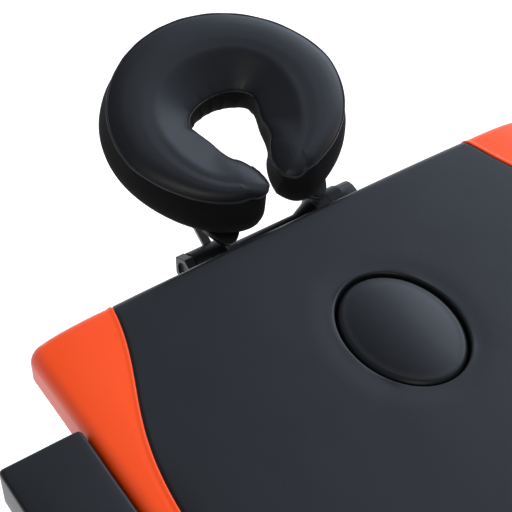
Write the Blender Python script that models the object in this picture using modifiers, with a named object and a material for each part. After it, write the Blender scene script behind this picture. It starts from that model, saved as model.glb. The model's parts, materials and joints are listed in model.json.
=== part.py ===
"""Folding massage table in two halves, with telescoping legs, headrest and armrests.

Metres, +Z up, +Y towards the head end, +X to the right of someone who looks at the head end.
The origin is on the floor, under the middle of the table's whole length, headrest included.
"""

from math import cos, hypot, pi, radians, sin

import bmesh
import bpy
from mathutils import Matrix, Vector

# Driving dimensions of the table top
TABLE_HEIGHT = 0.650
HALF_LENGTH = 0.925
TABLE_WIDTH = 0.660
PAD_THICKNESS = 0.045
PAD_CROWN = 0.010
PAD_EDGE = 0.022
PAD_DRAW_IN = 0.002
DECK_THICKNESS = 0.006
DECK_INSET = 0.012
FOLD_GAP = 0.002
SEAT_GAP = 0.0003

# Face hole and its plug, measured from the head edge
FACE_HOLE_BACK = 0.194
FACE_HOLE_WIDTH = 0.130
FACE_HOLE_LENGTH = 0.166
FACE_PLUG_GAP = 0.003
FACE_PLUG_PROUD = 0.008
FACE_PLUG_CROWN = 0.008
FACE_PLUG_EDGE = 0.005
FACE_PLUG_DRAW_IN = 0.001
DECK_HOLE_LEDGE = 0.012

# Aluminium frame
FRAME_INSET = 0.020
RAIL_WIDTH = 0.022
RAIL_HEIGHT = 0.040
RAIL_WALL = 0.002

# Piano hinge at the fold
HINGE_KNUCKLE_RADIUS = 0.0036
HINGE_PIN_RADIUS = 0.0016
HINGE_KNUCKLE_LENGTH = 0.100
HINGE_KNUCKLES = 5
HINGE_LEAF_THICKNESS = 0.0015
HINGE_LEAF_REACH = 0.019
HINGE_CLEARANCE = 0.0004

# Legs
LEG_RADIUS = 0.014
LEG_SWING_CLEARANCE = 0.006
LEG_RAIL_GAP = 0.010
LEG_NEST_GAP = 0.010
LEG_WALL = 0.002
LEG_TUBE_LENGTH = 0.360
LEG_TOP_ABOVE_PIVOT = 0.011
LEG_BORE_START = 0.060
PIVOT_RADIUS = 0.005
PIVOT_FLANGE_RADIUS = 0.012
PIVOT_FLANGE_THICKNESS = 0.003
PIVOT_SLEEVE_RADIUS = 0.008
PIVOT_HEAD_THICKNESS = 0.003
CROSS_TUBE_DROP = 0.300
CROSS_TUBE_RADIUS = 0.010
LOWER_LEG_TOP = 0.140
SLIDE_CLEARANCE = 0.0003
FOOT_RADIUS = 0.019
FOOT_TOP_RADIUS = 0.016
FOOT_HEIGHT = 0.034
FOOT_SOLE = 0.008
LOCK_ABOVE_TUBE_END = 0.025
LOCK_PIN_RADIUS = 0.003
LOCK_KNOB_RADIUS = 0.009
LOCK_KNOB_LENGTH = 0.013
LOCK_KNOB_CLEARANCE = 0.0006

# Knee braces
BRACE_X = 0.030
BRACE_PIVOT_FROM_LEG = 0.350
BRACE_THICKNESS = 0.004
BRACE_WIDTH = 0.016
BRACE_PIN_RADIUS = 0.004
BRACE_RIVET_RADIUS = 0.006
BRACE_RIVET_HEIGHT = 0.0025
BRACE_SIDE_GAP = 0.0003
BRACKET_PLATE = 0.036
BRACKET_PLATE_THICKNESS = 0.003

# Headrest
POST_X = 0.0905
POST_ROD_RADIUS = 0.006
POST_ROD_INSIDE = 0.170
KNUCKLE_OUT = 0.050
KNUCKLE_RADIUS = 0.018
KNUCKLE_WIDTH = 0.019
KNUCKLE_CAP_LENGTH = 0.018
KNUCKLE_CAP_STEP = 0.0015
BOLT_HEAD_RADIUS = 0.007
BOLT_HEAD_HEIGHT = 0.003
KNUCKLE_STUB_RADIUS = 0.005
KNUCKLE_STUB_LENGTH = 0.015
POST_NECK_LENGTH = 0.026
POST_NECK_HEIGHT = 0.020
HUB_WIDTH = 0.020
YOKE_BAR_RADIUS = 0.0065
YOKE_FLARE_LENGTH = 0.022
KNOB_RADIUS = 0.0175
KNOB_LENGTH = 0.0205
KNOB_RECESS_RADIUS = 0.009
KNOB_RECESS_DEPTH = 0.007
KNOB_SCREW_RADIUS = 0.003
ARM_WIDTH = 0.010
ARM_THICKNESS = 0.005
ARM_ROOT = 0.009
TILT_AXIS_ALONG = 0.020
TILT_AXIS_BELOW_PLATFORM = 0.016
TILT_PIN_RADIUS = 0.004
TILT_EYE_RADIUS = 0.009
EAR_THICKNESS = 0.006
CAM_HUB_RADIUS = 0.011
CAM_HUB_WIDTH = 0.010
CAM_LEVER_LENGTH = 0.060
CAM_LEVER_THICKNESS = 0.006
CRADLE_TILT = radians(25)
CRADLE_OUT = 0.128
CRADLE_RISE = 0.062
CRADLE_ARC_WIDTH = 0.090
CRADLE_ARC_LENGTH_FAR = 0.076
CRADLE_ARC_LENGTH_NEAR = 0.092
CRADLE_ARC_END = radians(151)
CRADLE_HALF_WIDTH_FAR = 0.053
CRADLE_HALF_WIDTH_SIDE = 0.047
CRADLE_HALF_WIDTH_END = 0.0324
CUSHION_DEPTH = 0.050
CUSHION_CROWN = 0.011
CUSHION_EDGE = 0.006
CUSHION_DRAW_IN = 0.002
PLATFORM_THICKNESS = 0.010
PLATFORM_INSET = 0.008
PLATFORM_LOBE_REACH = 0.028

# Armrests
ARMREST_GAP = 0.0025
ARMREST_WIDTH = 0.088
ARMREST_LENGTH = 0.520
ARMREST_FROM_HEAD = 0.119
ARMREST_THICKNESS = 0.045
ARMREST_CROWN = 0.004
ARMREST_EDGE = 0.012
BATTEN_WIDTH = 0.050
BATTEN_END_INSET = 0.050
ARMREST_ROD_RADIUS = 0.006
ARMREST_ROD_END_INSET = 0.100
ARMREST_ROD_BELOW_RAIL_TOP = 0.011
ARMREST_ROD_INSIDE = 0.042

# Latch and handle
LATCH_FROM_SIDE_RAIL = 0.088
LATCH_WIDTH = 0.034
LATCH_PLATE_THICKNESS = 0.002
LATCH_EAR = 0.010
LATCH_PIN_RADIUS = 0.002
LATCH_PIN_RISE = 0.008
LATCH_PLATE_MARGIN = 0.003
LATCH_LEVER_LENGTH = 0.026
LATCH_LEVER_THICKNESS = 0.003
HANDLE_LENGTH = 0.200
HANDLE_HEIGHT = 0.026
HANDLE_STAND_OFF = 0.0165
HANDLE_THICKNESS = 0.004
HANDLE_FOOT = 0.030

# Levels and places worked out from the sizes above
PAD_BOTTOM = TABLE_HEIGHT - PAD_THICKNESS
DECK_TOP = PAD_BOTTOM - SEAT_GAP
DECK_BOTTOM = DECK_TOP - DECK_THICKNESS
RAIL_TOP = DECK_BOTTOM - SEAT_GAP
RAIL_BOTTOM = RAIL_TOP - RAIL_HEIGHT
RAIL_MIDDLE = (RAIL_TOP + RAIL_BOTTOM) / 2
HINGE_Z = RAIL_BOTTOM - HINGE_KNUCKLE_RADIUS - 2 * SEAT_GAP
HALF_WIDTH = TABLE_WIDTH / 2
FRAME_X = HALF_WIDTH - FRAME_INSET
RAIL_INNER_X = FRAME_X - RAIL_WIDTH
LATCH_X = RAIL_INNER_X - LATCH_FROM_SIDE_RAIL
HEADREST_REACH = (CRADLE_OUT + (CRADLE_ARC_LENGTH_FAR + CRADLE_HALF_WIDTH_FAR) * cos(CRADLE_TILT)
                  + CUSHION_DEPTH * sin(CRADLE_TILT))
FOLD_Y = -HEADREST_REACH / 2
HEAD_EDGE_Y = FOLD_Y + HALF_LENGTH
LEG_FROM_FOLD = HALF_LENGTH - FRAME_INSET - RAIL_WIDTH - LEG_RADIUS - LEG_SWING_CLEARANCE
FOOT_LEG_X = RAIL_INNER_X - LEG_RAIL_GAP - LEG_RADIUS
HEAD_LEG_X = FOOT_LEG_X - 2 * LEG_RADIUS - LEG_NEST_GAP
LEG_BORE_RADIUS = LEG_RADIUS - LEG_WALL
LOWER_LEG_RADIUS = LEG_BORE_RADIUS - SLIDE_CLEARANCE
CRADLE_CENTRE = Vector((0, HEAD_EDGE_Y + CRADLE_OUT, TABLE_HEIGHT + CRADLE_RISE))
CRADLE_TURN = Matrix.Rotation(CRADLE_TILT, 4, "X")
TILT_LEVEL = -CUSHION_DEPTH - PLATFORM_THICKNESS - TILT_AXIS_BELOW_PLATFORM
TILT_AXIS = CRADLE_CENTRE + CRADLE_TURN @ Vector((0, TILT_AXIS_ALONG, TILT_LEVEL))
KNUCKLE_AXIS = Vector((0, HEAD_EDGE_Y + KNUCKLE_OUT, RAIL_MIDDLE))
HOLE_Y = HEAD_EDGE_Y - FACE_HOLE_BACK
END_RAIL_Y = HEAD_EDGE_Y - FRAME_INSET - RAIL_WIDTH
ARMREST_ROD_Z = RAIL_TOP - ARMREST_ROD_BELOW_RAIL_TOP
ARMREST_Y_HIGH = HEAD_EDGE_Y - ARMREST_FROM_HEAD
ARMREST_Y_LOW = ARMREST_Y_HIGH - ARMREST_LENGTH
ARMREST_ROD_Y = (ARMREST_Y_LOW + ARMREST_ROD_END_INSET, ARMREST_Y_HIGH - ARMREST_ROD_END_INSET)
BRACE_SPAN = hypot(BRACE_PIVOT_FROM_LEG, CROSS_TUBE_DROP)
BRACE_STEP = BRACE_PIVOT_FROM_LEG - CROSS_TUBE_DROP
UPPER_LINK = (BRACE_SPAN - BRACE_STEP) / 2
LOCK_Z = RAIL_MIDDLE - LEG_TUBE_LENGTH + LOCK_ABOVE_TUBE_END

# Fineness of the surfaces, and how far cutters and joined pieces run past each other
ROUND_SIDES = 20
SMALL_SIDES = 12
HOLE_SIDES = 40
CRADLE_ARC_STEPS = 22
CRADLE_LOBE_STEPS = 6
PAD_LEVELS = 2
ARMREST_LEVELS = 1
BOTTOM_CREASE = 0.9
SHARP_ANGLE = radians(40)
CUT_MARGIN = 0.02
JOIN_STEP = 0.0003
PIVOT_DISPLAY_SIZE = 0.05

# Colour, roughness and metallic value of each finish
FINISHES = {
    "vinyl": ((0.026, 0.028, 0.032), 0.42, 0.0),
    "board": ((0.30, 0.20, 0.11), 0.60, 0.0),
    "aluminium": ((0.62, 0.63, 0.64), 0.35, 1.0),
    "steel": ((0.42, 0.42, 0.43), 0.30, 1.0),
    "plastic": ((0.012, 0.012, 0.013), 0.45, 0.0),
    "rubber": ((0.015, 0.015, 0.015), 0.80, 0.0),
    "webbing": ((0.020, 0.020, 0.022), 0.90, 0.0),
}


def empty_scene():
    """Remove the objects of the scene that the script is run in."""
    for old in list(bpy.data.objects):
        bpy.data.objects.remove(old, do_unlink=True)


def collection(name):
    group = bpy.data.collections.new(name)
    bpy.context.scene.collection.children.link(group)
    return group


empty_scene()
PARTS = collection("folding_massage_table")
CUTTERS = collection("cutters")


def add_object(name, shape):
    """Turn a bmesh into an object of the table."""
    mesh = bpy.data.meshes.new(name)
    bmesh.ops.recalc_face_normals(shape, faces=shape.faces[:])
    shape.to_mesh(mesh)
    shape.free()
    piece = bpy.data.objects.new(name, mesh)
    PARTS.objects.link(piece)
    return piece


def box(name, low, high):
    """A block between two opposite corners."""
    low, high = Vector(low), Vector(high)
    shape = bmesh.new()
    bmesh.ops.create_cube(shape, size=1, matrix=Matrix.Diagonal((*(high - low), 1)))
    piece = add_object(name, shape)
    piece.location = (low + high) / 2
    return piece


def rod(name, start, end, radius, end_radius=None, sides=ROUND_SIDES):
    """A round bar, or a cone, from one point to another."""
    start, end = Vector(start), Vector(end)
    shape = bmesh.new()
    bmesh.ops.create_cone(shape, cap_ends=True, segments=sides, radius1=radius,
                          radius2=radius if end_radius is None else end_radius,
                          depth=(end - start).length)
    piece = add_object(name, shape)
    piece.location = (start + end) / 2
    piece.rotation_mode = "QUATERNION"
    piece.rotation_quaternion = (end - start).to_track_quat("Z", "Y")
    piece.data.shade_smooth()
    piece.data.set_sharp_from_angle(angle=SHARP_ANGLE)
    return piece


def loft(name, rings):
    """A closed solid through rings of points that have the same count."""
    shape = bmesh.new()
    loops = [[shape.verts.new(point) for point in ring] for ring in rings]
    for lower, upper in zip(loops, loops[1:]):
        for index in range(len(lower)):
            following = (index + 1) % len(lower)
            shape.faces.new((lower[index], lower[following], upper[following], upper[index]))
    shape.faces.new(loops[0])
    shape.faces.new(loops[-1])
    piece = add_object(name, shape)
    piece.data.shade_smooth()
    piece.data.set_sharp_from_angle(angle=SHARP_ANGLE)
    return piece


def combine(piece, tool, operation):
    """Join a tool to a piece, or cut the piece with it."""
    modifier = piece.modifiers.new(f"{operation.lower()}_{tool.name}", "BOOLEAN")
    modifier.operation = operation
    modifier.object = tool
    modifier.solver = "EXACT"
    PARTS.objects.unlink(tool)
    CUTTERS.objects.link(tool)
    tool.hide_render = True
    tool.display_type = "WIRE"
    return piece


def join(piece, *tools):
    for tool in tools:
        combine(piece, tool, "UNION")
    return piece


def cut(piece, *tools):
    for tool in tools:
        combine(piece, tool, "DIFFERENCE")
    return piece


def finish(piece, finish_name):
    """Give a piece a material of its own."""
    colour, roughness, metallic = FINISHES[finish_name]
    material = bpy.data.materials.new(f"{piece.name}_{finish_name}")
    material.use_nodes = True
    shader = material.node_tree.nodes["Principled BSDF"]
    shader.inputs["Base Color"].default_value = (*colour, 1)
    shader.inputs["Roughness"].default_value = roughness
    shader.inputs["Metallic"].default_value = metallic
    piece.data.materials.append(material)
    return piece


def pivot(name, place):
    """An empty on a joint's axis, which carries the pieces that move there."""
    carrier = bpy.data.objects.new(name, None)
    carrier.location = place
    carrier.empty_display_size = PIVOT_DISPLAY_SIZE
    PARTS.objects.link(carrier)
    return carrier


def carry(carrier, *pieces):
    bpy.context.view_layer.update()
    for piece in pieces:
        piece.parent = carrier
        piece.matrix_parent_inverse = carrier.matrix_world.inverted()


def cushion_block(name, low, high, edge, crown, draw_in, levels, low_ends=(-1, 1)):
    """A padded block: rounded edges, sides drawn in between the corners, and a crowned top.

    The crown runs out at the corners of the low ends, and stays level across the other end.
    """
    low, high = Vector(low), Vector(high)
    piece = box(name, low, high)
    half = (high - low) / 2
    shape = bmesh.new()
    shape.from_mesh(piece.data)
    planes = [(axis, side * (half[axis] - edge)) for axis in (0, 1) for side in (-1, 1)]
    planes += [(0, 0), (1, 0), (2, half.z - edge)]
    for axis, place in planes:
        normal = Vector((0, 0, 0))
        normal[axis] = 1
        bmesh.ops.bisect_plane(shape, geom=shape.verts[:] + shape.edges[:] + shape.faces[:],
                               plane_co=normal * place, plane_no=normal)
    crease = shape.edges.layers.float.new("crease_edge")
    for rim in shape.edges:
        on_bottom = all(vert.co.z < -half.z + SEAT_GAP for vert in rim.verts)
        if on_bottom and any(abs(face.normal.z) < 0.5 for face in rim.link_faces):
            rim[crease] = BOTTOM_CREASE
    for vert in shape.verts:
        across = vert.co.x / half.x
        along = vert.co.y / half.y
        if vert.co.z > half.z - edge / 2:
            toward_end = max(max(end * along for end in low_ends), 0)
            vert.co.z += crown * (1 - (across * toward_end) ** 2)
        if abs(across) > 0.99:
            vert.co.x -= draw_in * across * (1 - along ** 2)
        if abs(along) > 0.99:
            vert.co.y -= draw_in * along * (1 - across ** 2)
    shape.to_mesh(piece.data)
    shape.free()
    surface = piece.modifiers.new("rounded", "SUBSURF")
    surface.levels = levels
    surface.render_levels = levels
    piece.data.shade_smooth()
    return piece


def oval(width, length, z, centre_y, count):
    """Points of an oval ring, with its long way along the table."""
    turns = [2 * pi * step / count for step in range(count)]
    return [(width / 2 * cos(turn), centre_y + length / 2 * sin(turn), z) for turn in turns]


# Pads and decks: the head half has the oval face hole, the deck a ledge below it
fold_joint = pivot("table_fold_axis", (0, FOLD_Y, HINGE_Z))

foot_pad = cushion_block("foot_pad",
                         (-HALF_WIDTH, FOLD_Y - HALF_LENGTH, PAD_BOTTOM),
                         (HALF_WIDTH, FOLD_Y - FOLD_GAP / 2, TABLE_HEIGHT),
                         PAD_EDGE, PAD_CROWN, PAD_DRAW_IN, PAD_LEVELS, low_ends=(-1,))
finish(foot_pad, "vinyl")

head_pad = cushion_block("head_pad",
                         (-HALF_WIDTH, FOLD_Y + FOLD_GAP / 2, PAD_BOTTOM),
                         (HALF_WIDTH, HEAD_EDGE_Y, TABLE_HEIGHT),
                         PAD_EDGE, PAD_CROWN, PAD_DRAW_IN, PAD_LEVELS, low_ends=(1,))
face_hole_cutter = loft("face_hole_cutter", [
    oval(FACE_HOLE_WIDTH, FACE_HOLE_LENGTH, PAD_BOTTOM - CUT_MARGIN, HOLE_Y, HOLE_SIDES),
    oval(FACE_HOLE_WIDTH, FACE_HOLE_LENGTH, TABLE_HEIGHT + PAD_CROWN + CUT_MARGIN, HOLE_Y, HOLE_SIDES)])
cut(head_pad, face_hole_cutter)
finish(head_pad, "vinyl")

foot_deck = box("foot_deck",
                (-HALF_WIDTH + DECK_INSET, FOLD_Y - HALF_LENGTH + DECK_INSET, DECK_BOTTOM),
                (HALF_WIDTH - DECK_INSET, FOLD_Y - FOLD_GAP / 2, DECK_TOP))
finish(foot_deck, "board")

head_deck = box("head_deck",
                (-HALF_WIDTH + DECK_INSET, FOLD_Y + FOLD_GAP / 2, DECK_BOTTOM),
                (HALF_WIDTH - DECK_INSET, HEAD_EDGE_Y - DECK_INSET, DECK_TOP))
deck_hole_width = FACE_HOLE_WIDTH - 2 * DECK_HOLE_LEDGE
deck_hole_length = FACE_HOLE_LENGTH - 2 * DECK_HOLE_LEDGE
deck_hole_cutter = loft("deck_hole_cutter", [
    oval(deck_hole_width, deck_hole_length, DECK_BOTTOM - CUT_MARGIN, HOLE_Y, HOLE_SIDES),
    oval(deck_hole_width, deck_hole_length, DECK_TOP + CUT_MARGIN, HOLE_Y, HOLE_SIDES)])
cut(head_deck, deck_hole_cutter)
finish(head_deck, "board")

# Face hole plug: an oval cushion that stands on the ledge of the deck
plug_width = FACE_HOLE_WIDTH - 2 * FACE_PLUG_GAP
plug_length = FACE_HOLE_LENGTH - 2 * FACE_PLUG_GAP
plug_bottom = DECK_TOP + SEAT_GAP
plug_shoulder = TABLE_HEIGHT + FACE_PLUG_PROUD
plug_top = plug_shoulder + FACE_PLUG_CROWN
plug_rings = [(FACE_PLUG_EDGE, plug_bottom), (0, plug_bottom + FACE_PLUG_EDGE),
              (FACE_PLUG_DRAW_IN, (plug_bottom + plug_shoulder) / 2),
              (0, plug_shoulder - 2 * FACE_PLUG_EDGE), (FACE_PLUG_EDGE, plug_shoulder),
              (plug_width / 6, plug_top - FACE_PLUG_CROWN / 3), (plug_width / 3, plug_top)]
face_plug = loft("face_hole_plug", [
    oval(plug_width - 2 * inset, plug_length - 2 * inset, height, HOLE_Y, HOLE_SIDES)
    for inset, height in plug_rings])
finish(face_plug, "vinyl")
plug_joint = pivot("plug_lift_axis", (0, HOLE_Y, DECK_TOP))
carry(plug_joint, face_plug)
carry(fold_joint, head_pad, head_deck, plug_joint)


def rail(name, low, high, along):
    """A rectangular aluminium tube, open at both ends."""
    low, high = Vector(low), Vector(high)
    tube = box(name, low, high)
    wall = Vector((RAIL_WALL, RAIL_WALL, RAIL_WALL))
    wall[along] = -CUT_MARGIN
    cut(tube, box(f"{name}_hollow", low + wall, high - wall))
    return finish(tube, "aluminium")


# Frames of the two halves: side rails run through, the cross rails sit between them
rails = {}
for half, toward_end in (("foot", -1), ("head", 1)):
    near_fold = FOLD_Y + toward_end * FOLD_GAP / 2
    near_end = FOLD_Y + toward_end * (HALF_LENGTH - FRAME_INSET)
    y_low, y_high = sorted((near_fold, near_end))
    for side, sign in (("left", -1), ("right", 1)):
        x_low, x_high = sorted((sign * RAIL_INNER_X, sign * FRAME_X))
        rails[half, side] = rail(f"{half}_rail_{side}", (x_low, y_low, RAIL_BOTTOM),
                                 (x_high, y_high, RAIL_TOP), 1)
    cross_x = RAIL_INNER_X - SEAT_GAP
    for place, start in (("fold", near_fold), ("end", near_end - toward_end * RAIL_WIDTH)):
        y_low, y_high = sorted((start, start + toward_end * RAIL_WIDTH))
        rails[half, place] = rail(f"{half}_rail_{place}", (-cross_x, y_low, RAIL_BOTTOM),
                                  (cross_x, y_high, RAIL_TOP), 0)

# Holes for the headrest's rods in the head end rail
for side, sign in (("left", -1), ("right", 1)):
    hole = rod(f"post_hole_{side}", (sign * POST_X, END_RAIL_Y - CUT_MARGIN, RAIL_MIDDLE),
               (sign * POST_X, END_RAIL_Y + RAIL_WIDTH + CUT_MARGIN, RAIL_MIDDLE),
               POST_ROD_RADIUS + SLIDE_CLEARANCE, sides=SMALL_SIDES)
    cut(rails["head", "end"], hole)

# Holes for the armrests' rods in the head side rails
for side, sign in (("left", -1), ("right", 1)):
    for number, y in enumerate(ARMREST_ROD_Y):
        hole = rod(f"armrest_hole_{side}_{number}",
                   (sign * (RAIL_INNER_X - CUT_MARGIN), y, ARMREST_ROD_Z),
                   (sign * (FRAME_X + CUT_MARGIN), y, ARMREST_ROD_Z),
                   ARMREST_ROD_RADIUS + SLIDE_CLEARANCE, sides=SMALL_SIDES)
        cut(rails["head", side], hole)
carry(fold_joint, *(rails["head", place] for place in ("left", "right", "fold", "end")))


def hinge_leaf(name, toward_end, segments):
    """A plate under the fold rail, with its share of the hinge's knuckles."""
    plate_top = RAIL_BOTTOM - SEAT_GAP
    plate_bottom = plate_top - HINGE_LEAF_THICKNESS
    reach = FOLD_Y + toward_end * HINGE_LEAF_REACH
    clear = FOLD_Y + toward_end * (HINGE_KNUCKLE_RADIUS + HINGE_CLEARANCE)
    half_length = HINGE_KNUCKLES * HINGE_KNUCKLE_LENGTH / 2
    y_low, y_high = sorted((clear, reach))
    leaf = box(name, (-half_length, y_low, plate_bottom), (half_length, y_high, plate_top))
    for number, middle in enumerate(segments):
        start = middle - HINGE_KNUCKLE_LENGTH / 2 + HINGE_CLEARANCE
        end = middle + HINGE_KNUCKLE_LENGTH / 2 - HINGE_CLEARANCE
        tab_low, tab_high = sorted((FOLD_Y, clear + toward_end * HINGE_CLEARANCE))
        join(leaf,
             box(f"{name}_tab_{number}", (start, tab_low, plate_bottom), (end, tab_high, plate_top)),
             rod(f"{name}_knuckle_{number}", (start, FOLD_Y, HINGE_Z), (end, FOLD_Y, HINGE_Z),
                 HINGE_KNUCKLE_RADIUS, sides=SMALL_SIDES))
    return finish(leaf, "steel")


# Piano hinge: the foot leaf holds the pin, the head leaf turns on it, and their knuckles alternate
knuckles = [(number - (HINGE_KNUCKLES - 1) / 2) * HINGE_KNUCKLE_LENGTH for number in range(HINGE_KNUCKLES)]
pin_half = HINGE_KNUCKLES * HINGE_KNUCKLE_LENGTH / 2 - 2 * HINGE_CLEARANCE
hinge_leaf_foot = hinge_leaf("hinge_leaf_foot", -1, knuckles[0::2])
join(hinge_leaf_foot, rod("hinge_pin", (-pin_half, FOLD_Y, HINGE_Z), (pin_half, FOLD_Y, HINGE_Z),
                          HINGE_PIN_RADIUS, sides=SMALL_SIDES))
hinge_leaf_head = hinge_leaf("hinge_leaf_head", 1, knuckles[1::2])
cut(hinge_leaf_head, rod("hinge_bore", (-pin_half, FOLD_Y, HINGE_Z), (pin_half, FOLD_Y, HINGE_Z),
                         HINGE_PIN_RADIUS + SLIDE_CLEARANCE, sides=SMALL_SIDES))
carry(fold_joint, hinge_leaf_head)

# Legs: each pair swings on two studs in its half's side rails
for half, toward_end, leg_x in (("foot", -1, FOOT_LEG_X), ("head", 1, HEAD_LEG_X)):
    leg_y = FOLD_Y + toward_end * LEG_FROM_FOLD
    pair_joint = pivot(f"{half}_leg_axis", (0, leg_y, RAIL_MIDDLE))
    leg_bottom = RAIL_MIDDLE - LEG_TUBE_LENGTH
    for side, sign in (("left", -1), ("right", 1)):
        x = sign * leg_x
        leg = rod(f"{half}_leg_{side}", (x, leg_y, leg_bottom),
                  (x, leg_y, RAIL_MIDDLE + LEG_TOP_ABOVE_PIVOT), LEG_RADIUS)
        bore = rod(f"{half}_leg_bore_{side}", (x, leg_y, leg_bottom - CUT_MARGIN),
                   (x, leg_y, RAIL_MIDDLE - LEG_BORE_START), LEG_BORE_RADIUS)
        eye = rod(f"{half}_leg_eye_{side}", (x - sign * 2 * LEG_RADIUS, leg_y, RAIL_MIDDLE),
                  (x + sign * 2 * LEG_RADIUS, leg_y, RAIL_MIDDLE),
                  PIVOT_RADIUS + SLIDE_CLEARANCE, sides=SMALL_SIDES)
        lock_hole = rod(f"{half}_lock_hole_{side}", (x, leg_y, LOCK_Z),
                        (x, leg_y + toward_end * 2 * LEG_RADIUS, LOCK_Z),
                        LOCK_PIN_RADIUS + SLIDE_CLEARANCE, sides=SMALL_SIDES)
        finish(cut(leg, bore, eye, lock_hole), "aluminium")

        rail_face = sign * (RAIL_INNER_X - SEAT_GAP)
        flange_face = rail_face - sign * PIVOT_FLANGE_THICKNESS
        leg_outer = x + sign * (LEG_RADIUS + SEAT_GAP)
        leg_inner = x - sign * (LEG_RADIUS + SEAT_GAP)
        stud = rod(f"{half}_leg_stud_{side}", (rail_face, leg_y, RAIL_MIDDLE),
                   (flange_face, leg_y, RAIL_MIDDLE), PIVOT_FLANGE_RADIUS, sides=SMALL_SIDES)
        join(stud,
             rod(f"{half}_stud_sleeve_{side}", (rail_face - sign * JOIN_STEP, leg_y, RAIL_MIDDLE),
                 (leg_outer, leg_y, RAIL_MIDDLE), PIVOT_SLEEVE_RADIUS, sides=SMALL_SIDES),
             rod(f"{half}_stud_pin_{side}", (rail_face - sign * 2 * JOIN_STEP, leg_y, RAIL_MIDDLE),
                 (leg_inner - sign * PIVOT_HEAD_THICKNESS / 2, leg_y, RAIL_MIDDLE), PIVOT_RADIUS,
                 sides=SMALL_SIDES),
             rod(f"{half}_stud_head_{side}", (leg_inner, leg_y, RAIL_MIDDLE),
                 (leg_inner - sign * PIVOT_HEAD_THICKNESS, leg_y, RAIL_MIDDLE), PIVOT_SLEEVE_RADIUS,
                 sides=SMALL_SIDES))
        finish(stud, "steel")
        if half == "head":
            carry(fold_joint, stud)

        lower_joint = pivot(f"{half}_lower_leg_axis_{side}", (x, leg_y, leg_bottom))
        lower_leg = rod(f"{half}_lower_leg_{side}", (x, leg_y, FOOT_SOLE + SEAT_GAP),
                        (x, leg_y, RAIL_MIDDLE - LOWER_LEG_TOP), LOWER_LEG_RADIUS)
        finish(lower_leg, "aluminium")
        rubber_foot = rod(f"{half}_rubber_foot_{side}", (x, leg_y, 0), (x, leg_y, FOOT_HEIGHT),
                          FOOT_RADIUS, FOOT_TOP_RADIUS)
        cut(rubber_foot, rod(f"{half}_foot_bore_{side}", (x, leg_y, FOOT_SOLE),
                             (x, leg_y, FOOT_HEIGHT + CUT_MARGIN), LOWER_LEG_RADIUS + SEAT_GAP))
        finish(rubber_foot, "rubber")
        carry(lower_joint, lower_leg, rubber_foot)

        lock_joint = pivot(f"{half}_lock_axis_{side}", (x, leg_y, LOCK_Z))
        lock_start = leg_y + toward_end * (LEG_RADIUS + LOCK_KNOB_CLEARANCE)
        lock = rod(f"{half}_lock_knob_{side}", (x, lock_start, LOCK_Z),
                   (x, lock_start + toward_end * LOCK_KNOB_LENGTH, LOCK_Z), LOCK_KNOB_RADIUS,
                   sides=SMALL_SIDES)
        join(lock, rod(f"{half}_lock_pin_{side}",
                       (x, leg_y + toward_end * (LOWER_LEG_RADIUS + SLIDE_CLEARANCE), LOCK_Z),
                       (x, lock_start + toward_end * LOCK_KNOB_LENGTH / 2, LOCK_Z),
                       LOCK_PIN_RADIUS, sides=SMALL_SIDES))
        finish(lock, "plastic")
        carry(lock_joint, lock)
        carry(pair_joint, leg, lower_joint, lock_joint)

    cross_half = leg_x - LEG_RADIUS - SEAT_GAP
    cross_z = RAIL_MIDDLE - CROSS_TUBE_DROP
    cross_tube = rod(f"{half}_leg_cross_tube", (-cross_half, leg_y, cross_z), (cross_half, leg_y, cross_z),
                     CROSS_TUBE_RADIUS)
    finish(cross_tube, "aluminium")
    carry(pair_joint, cross_tube)
    if half == "head":
        carry(fold_joint, pair_joint)


def link(name, start, end, x_low, x_high, start_radius):
    """A flat bar in a plane across X, with an eye at its start and a round end."""
    sideways = Vector((1, 0, 0))
    along = (end - start).normalized()
    half_thickness = (x_high - x_low) / 2
    bar = box(name, (-half_thickness, -BRACE_WIDTH / 2, 0),
              (half_thickness, BRACE_WIDTH / 2, (end - start).length))
    bar.data.transform(Matrix.Translation(bar.location))
    turn = Matrix((sideways, along.cross(sideways), along)).transposed().to_4x4()
    bar.matrix_world = Matrix.Translation(((x_low + x_high) / 2, start.y, start.z)) @ turn
    for label, middle, radius in (("eye", start, start_radius), ("end", end, BRACE_WIDTH / 2)):
        join(bar, rod(f"{name}_{label}", (x_low + JOIN_STEP, middle.y, middle.z),
                      (x_high - JOIN_STEP, middle.y, middle.z), radius))
    return bar


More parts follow.
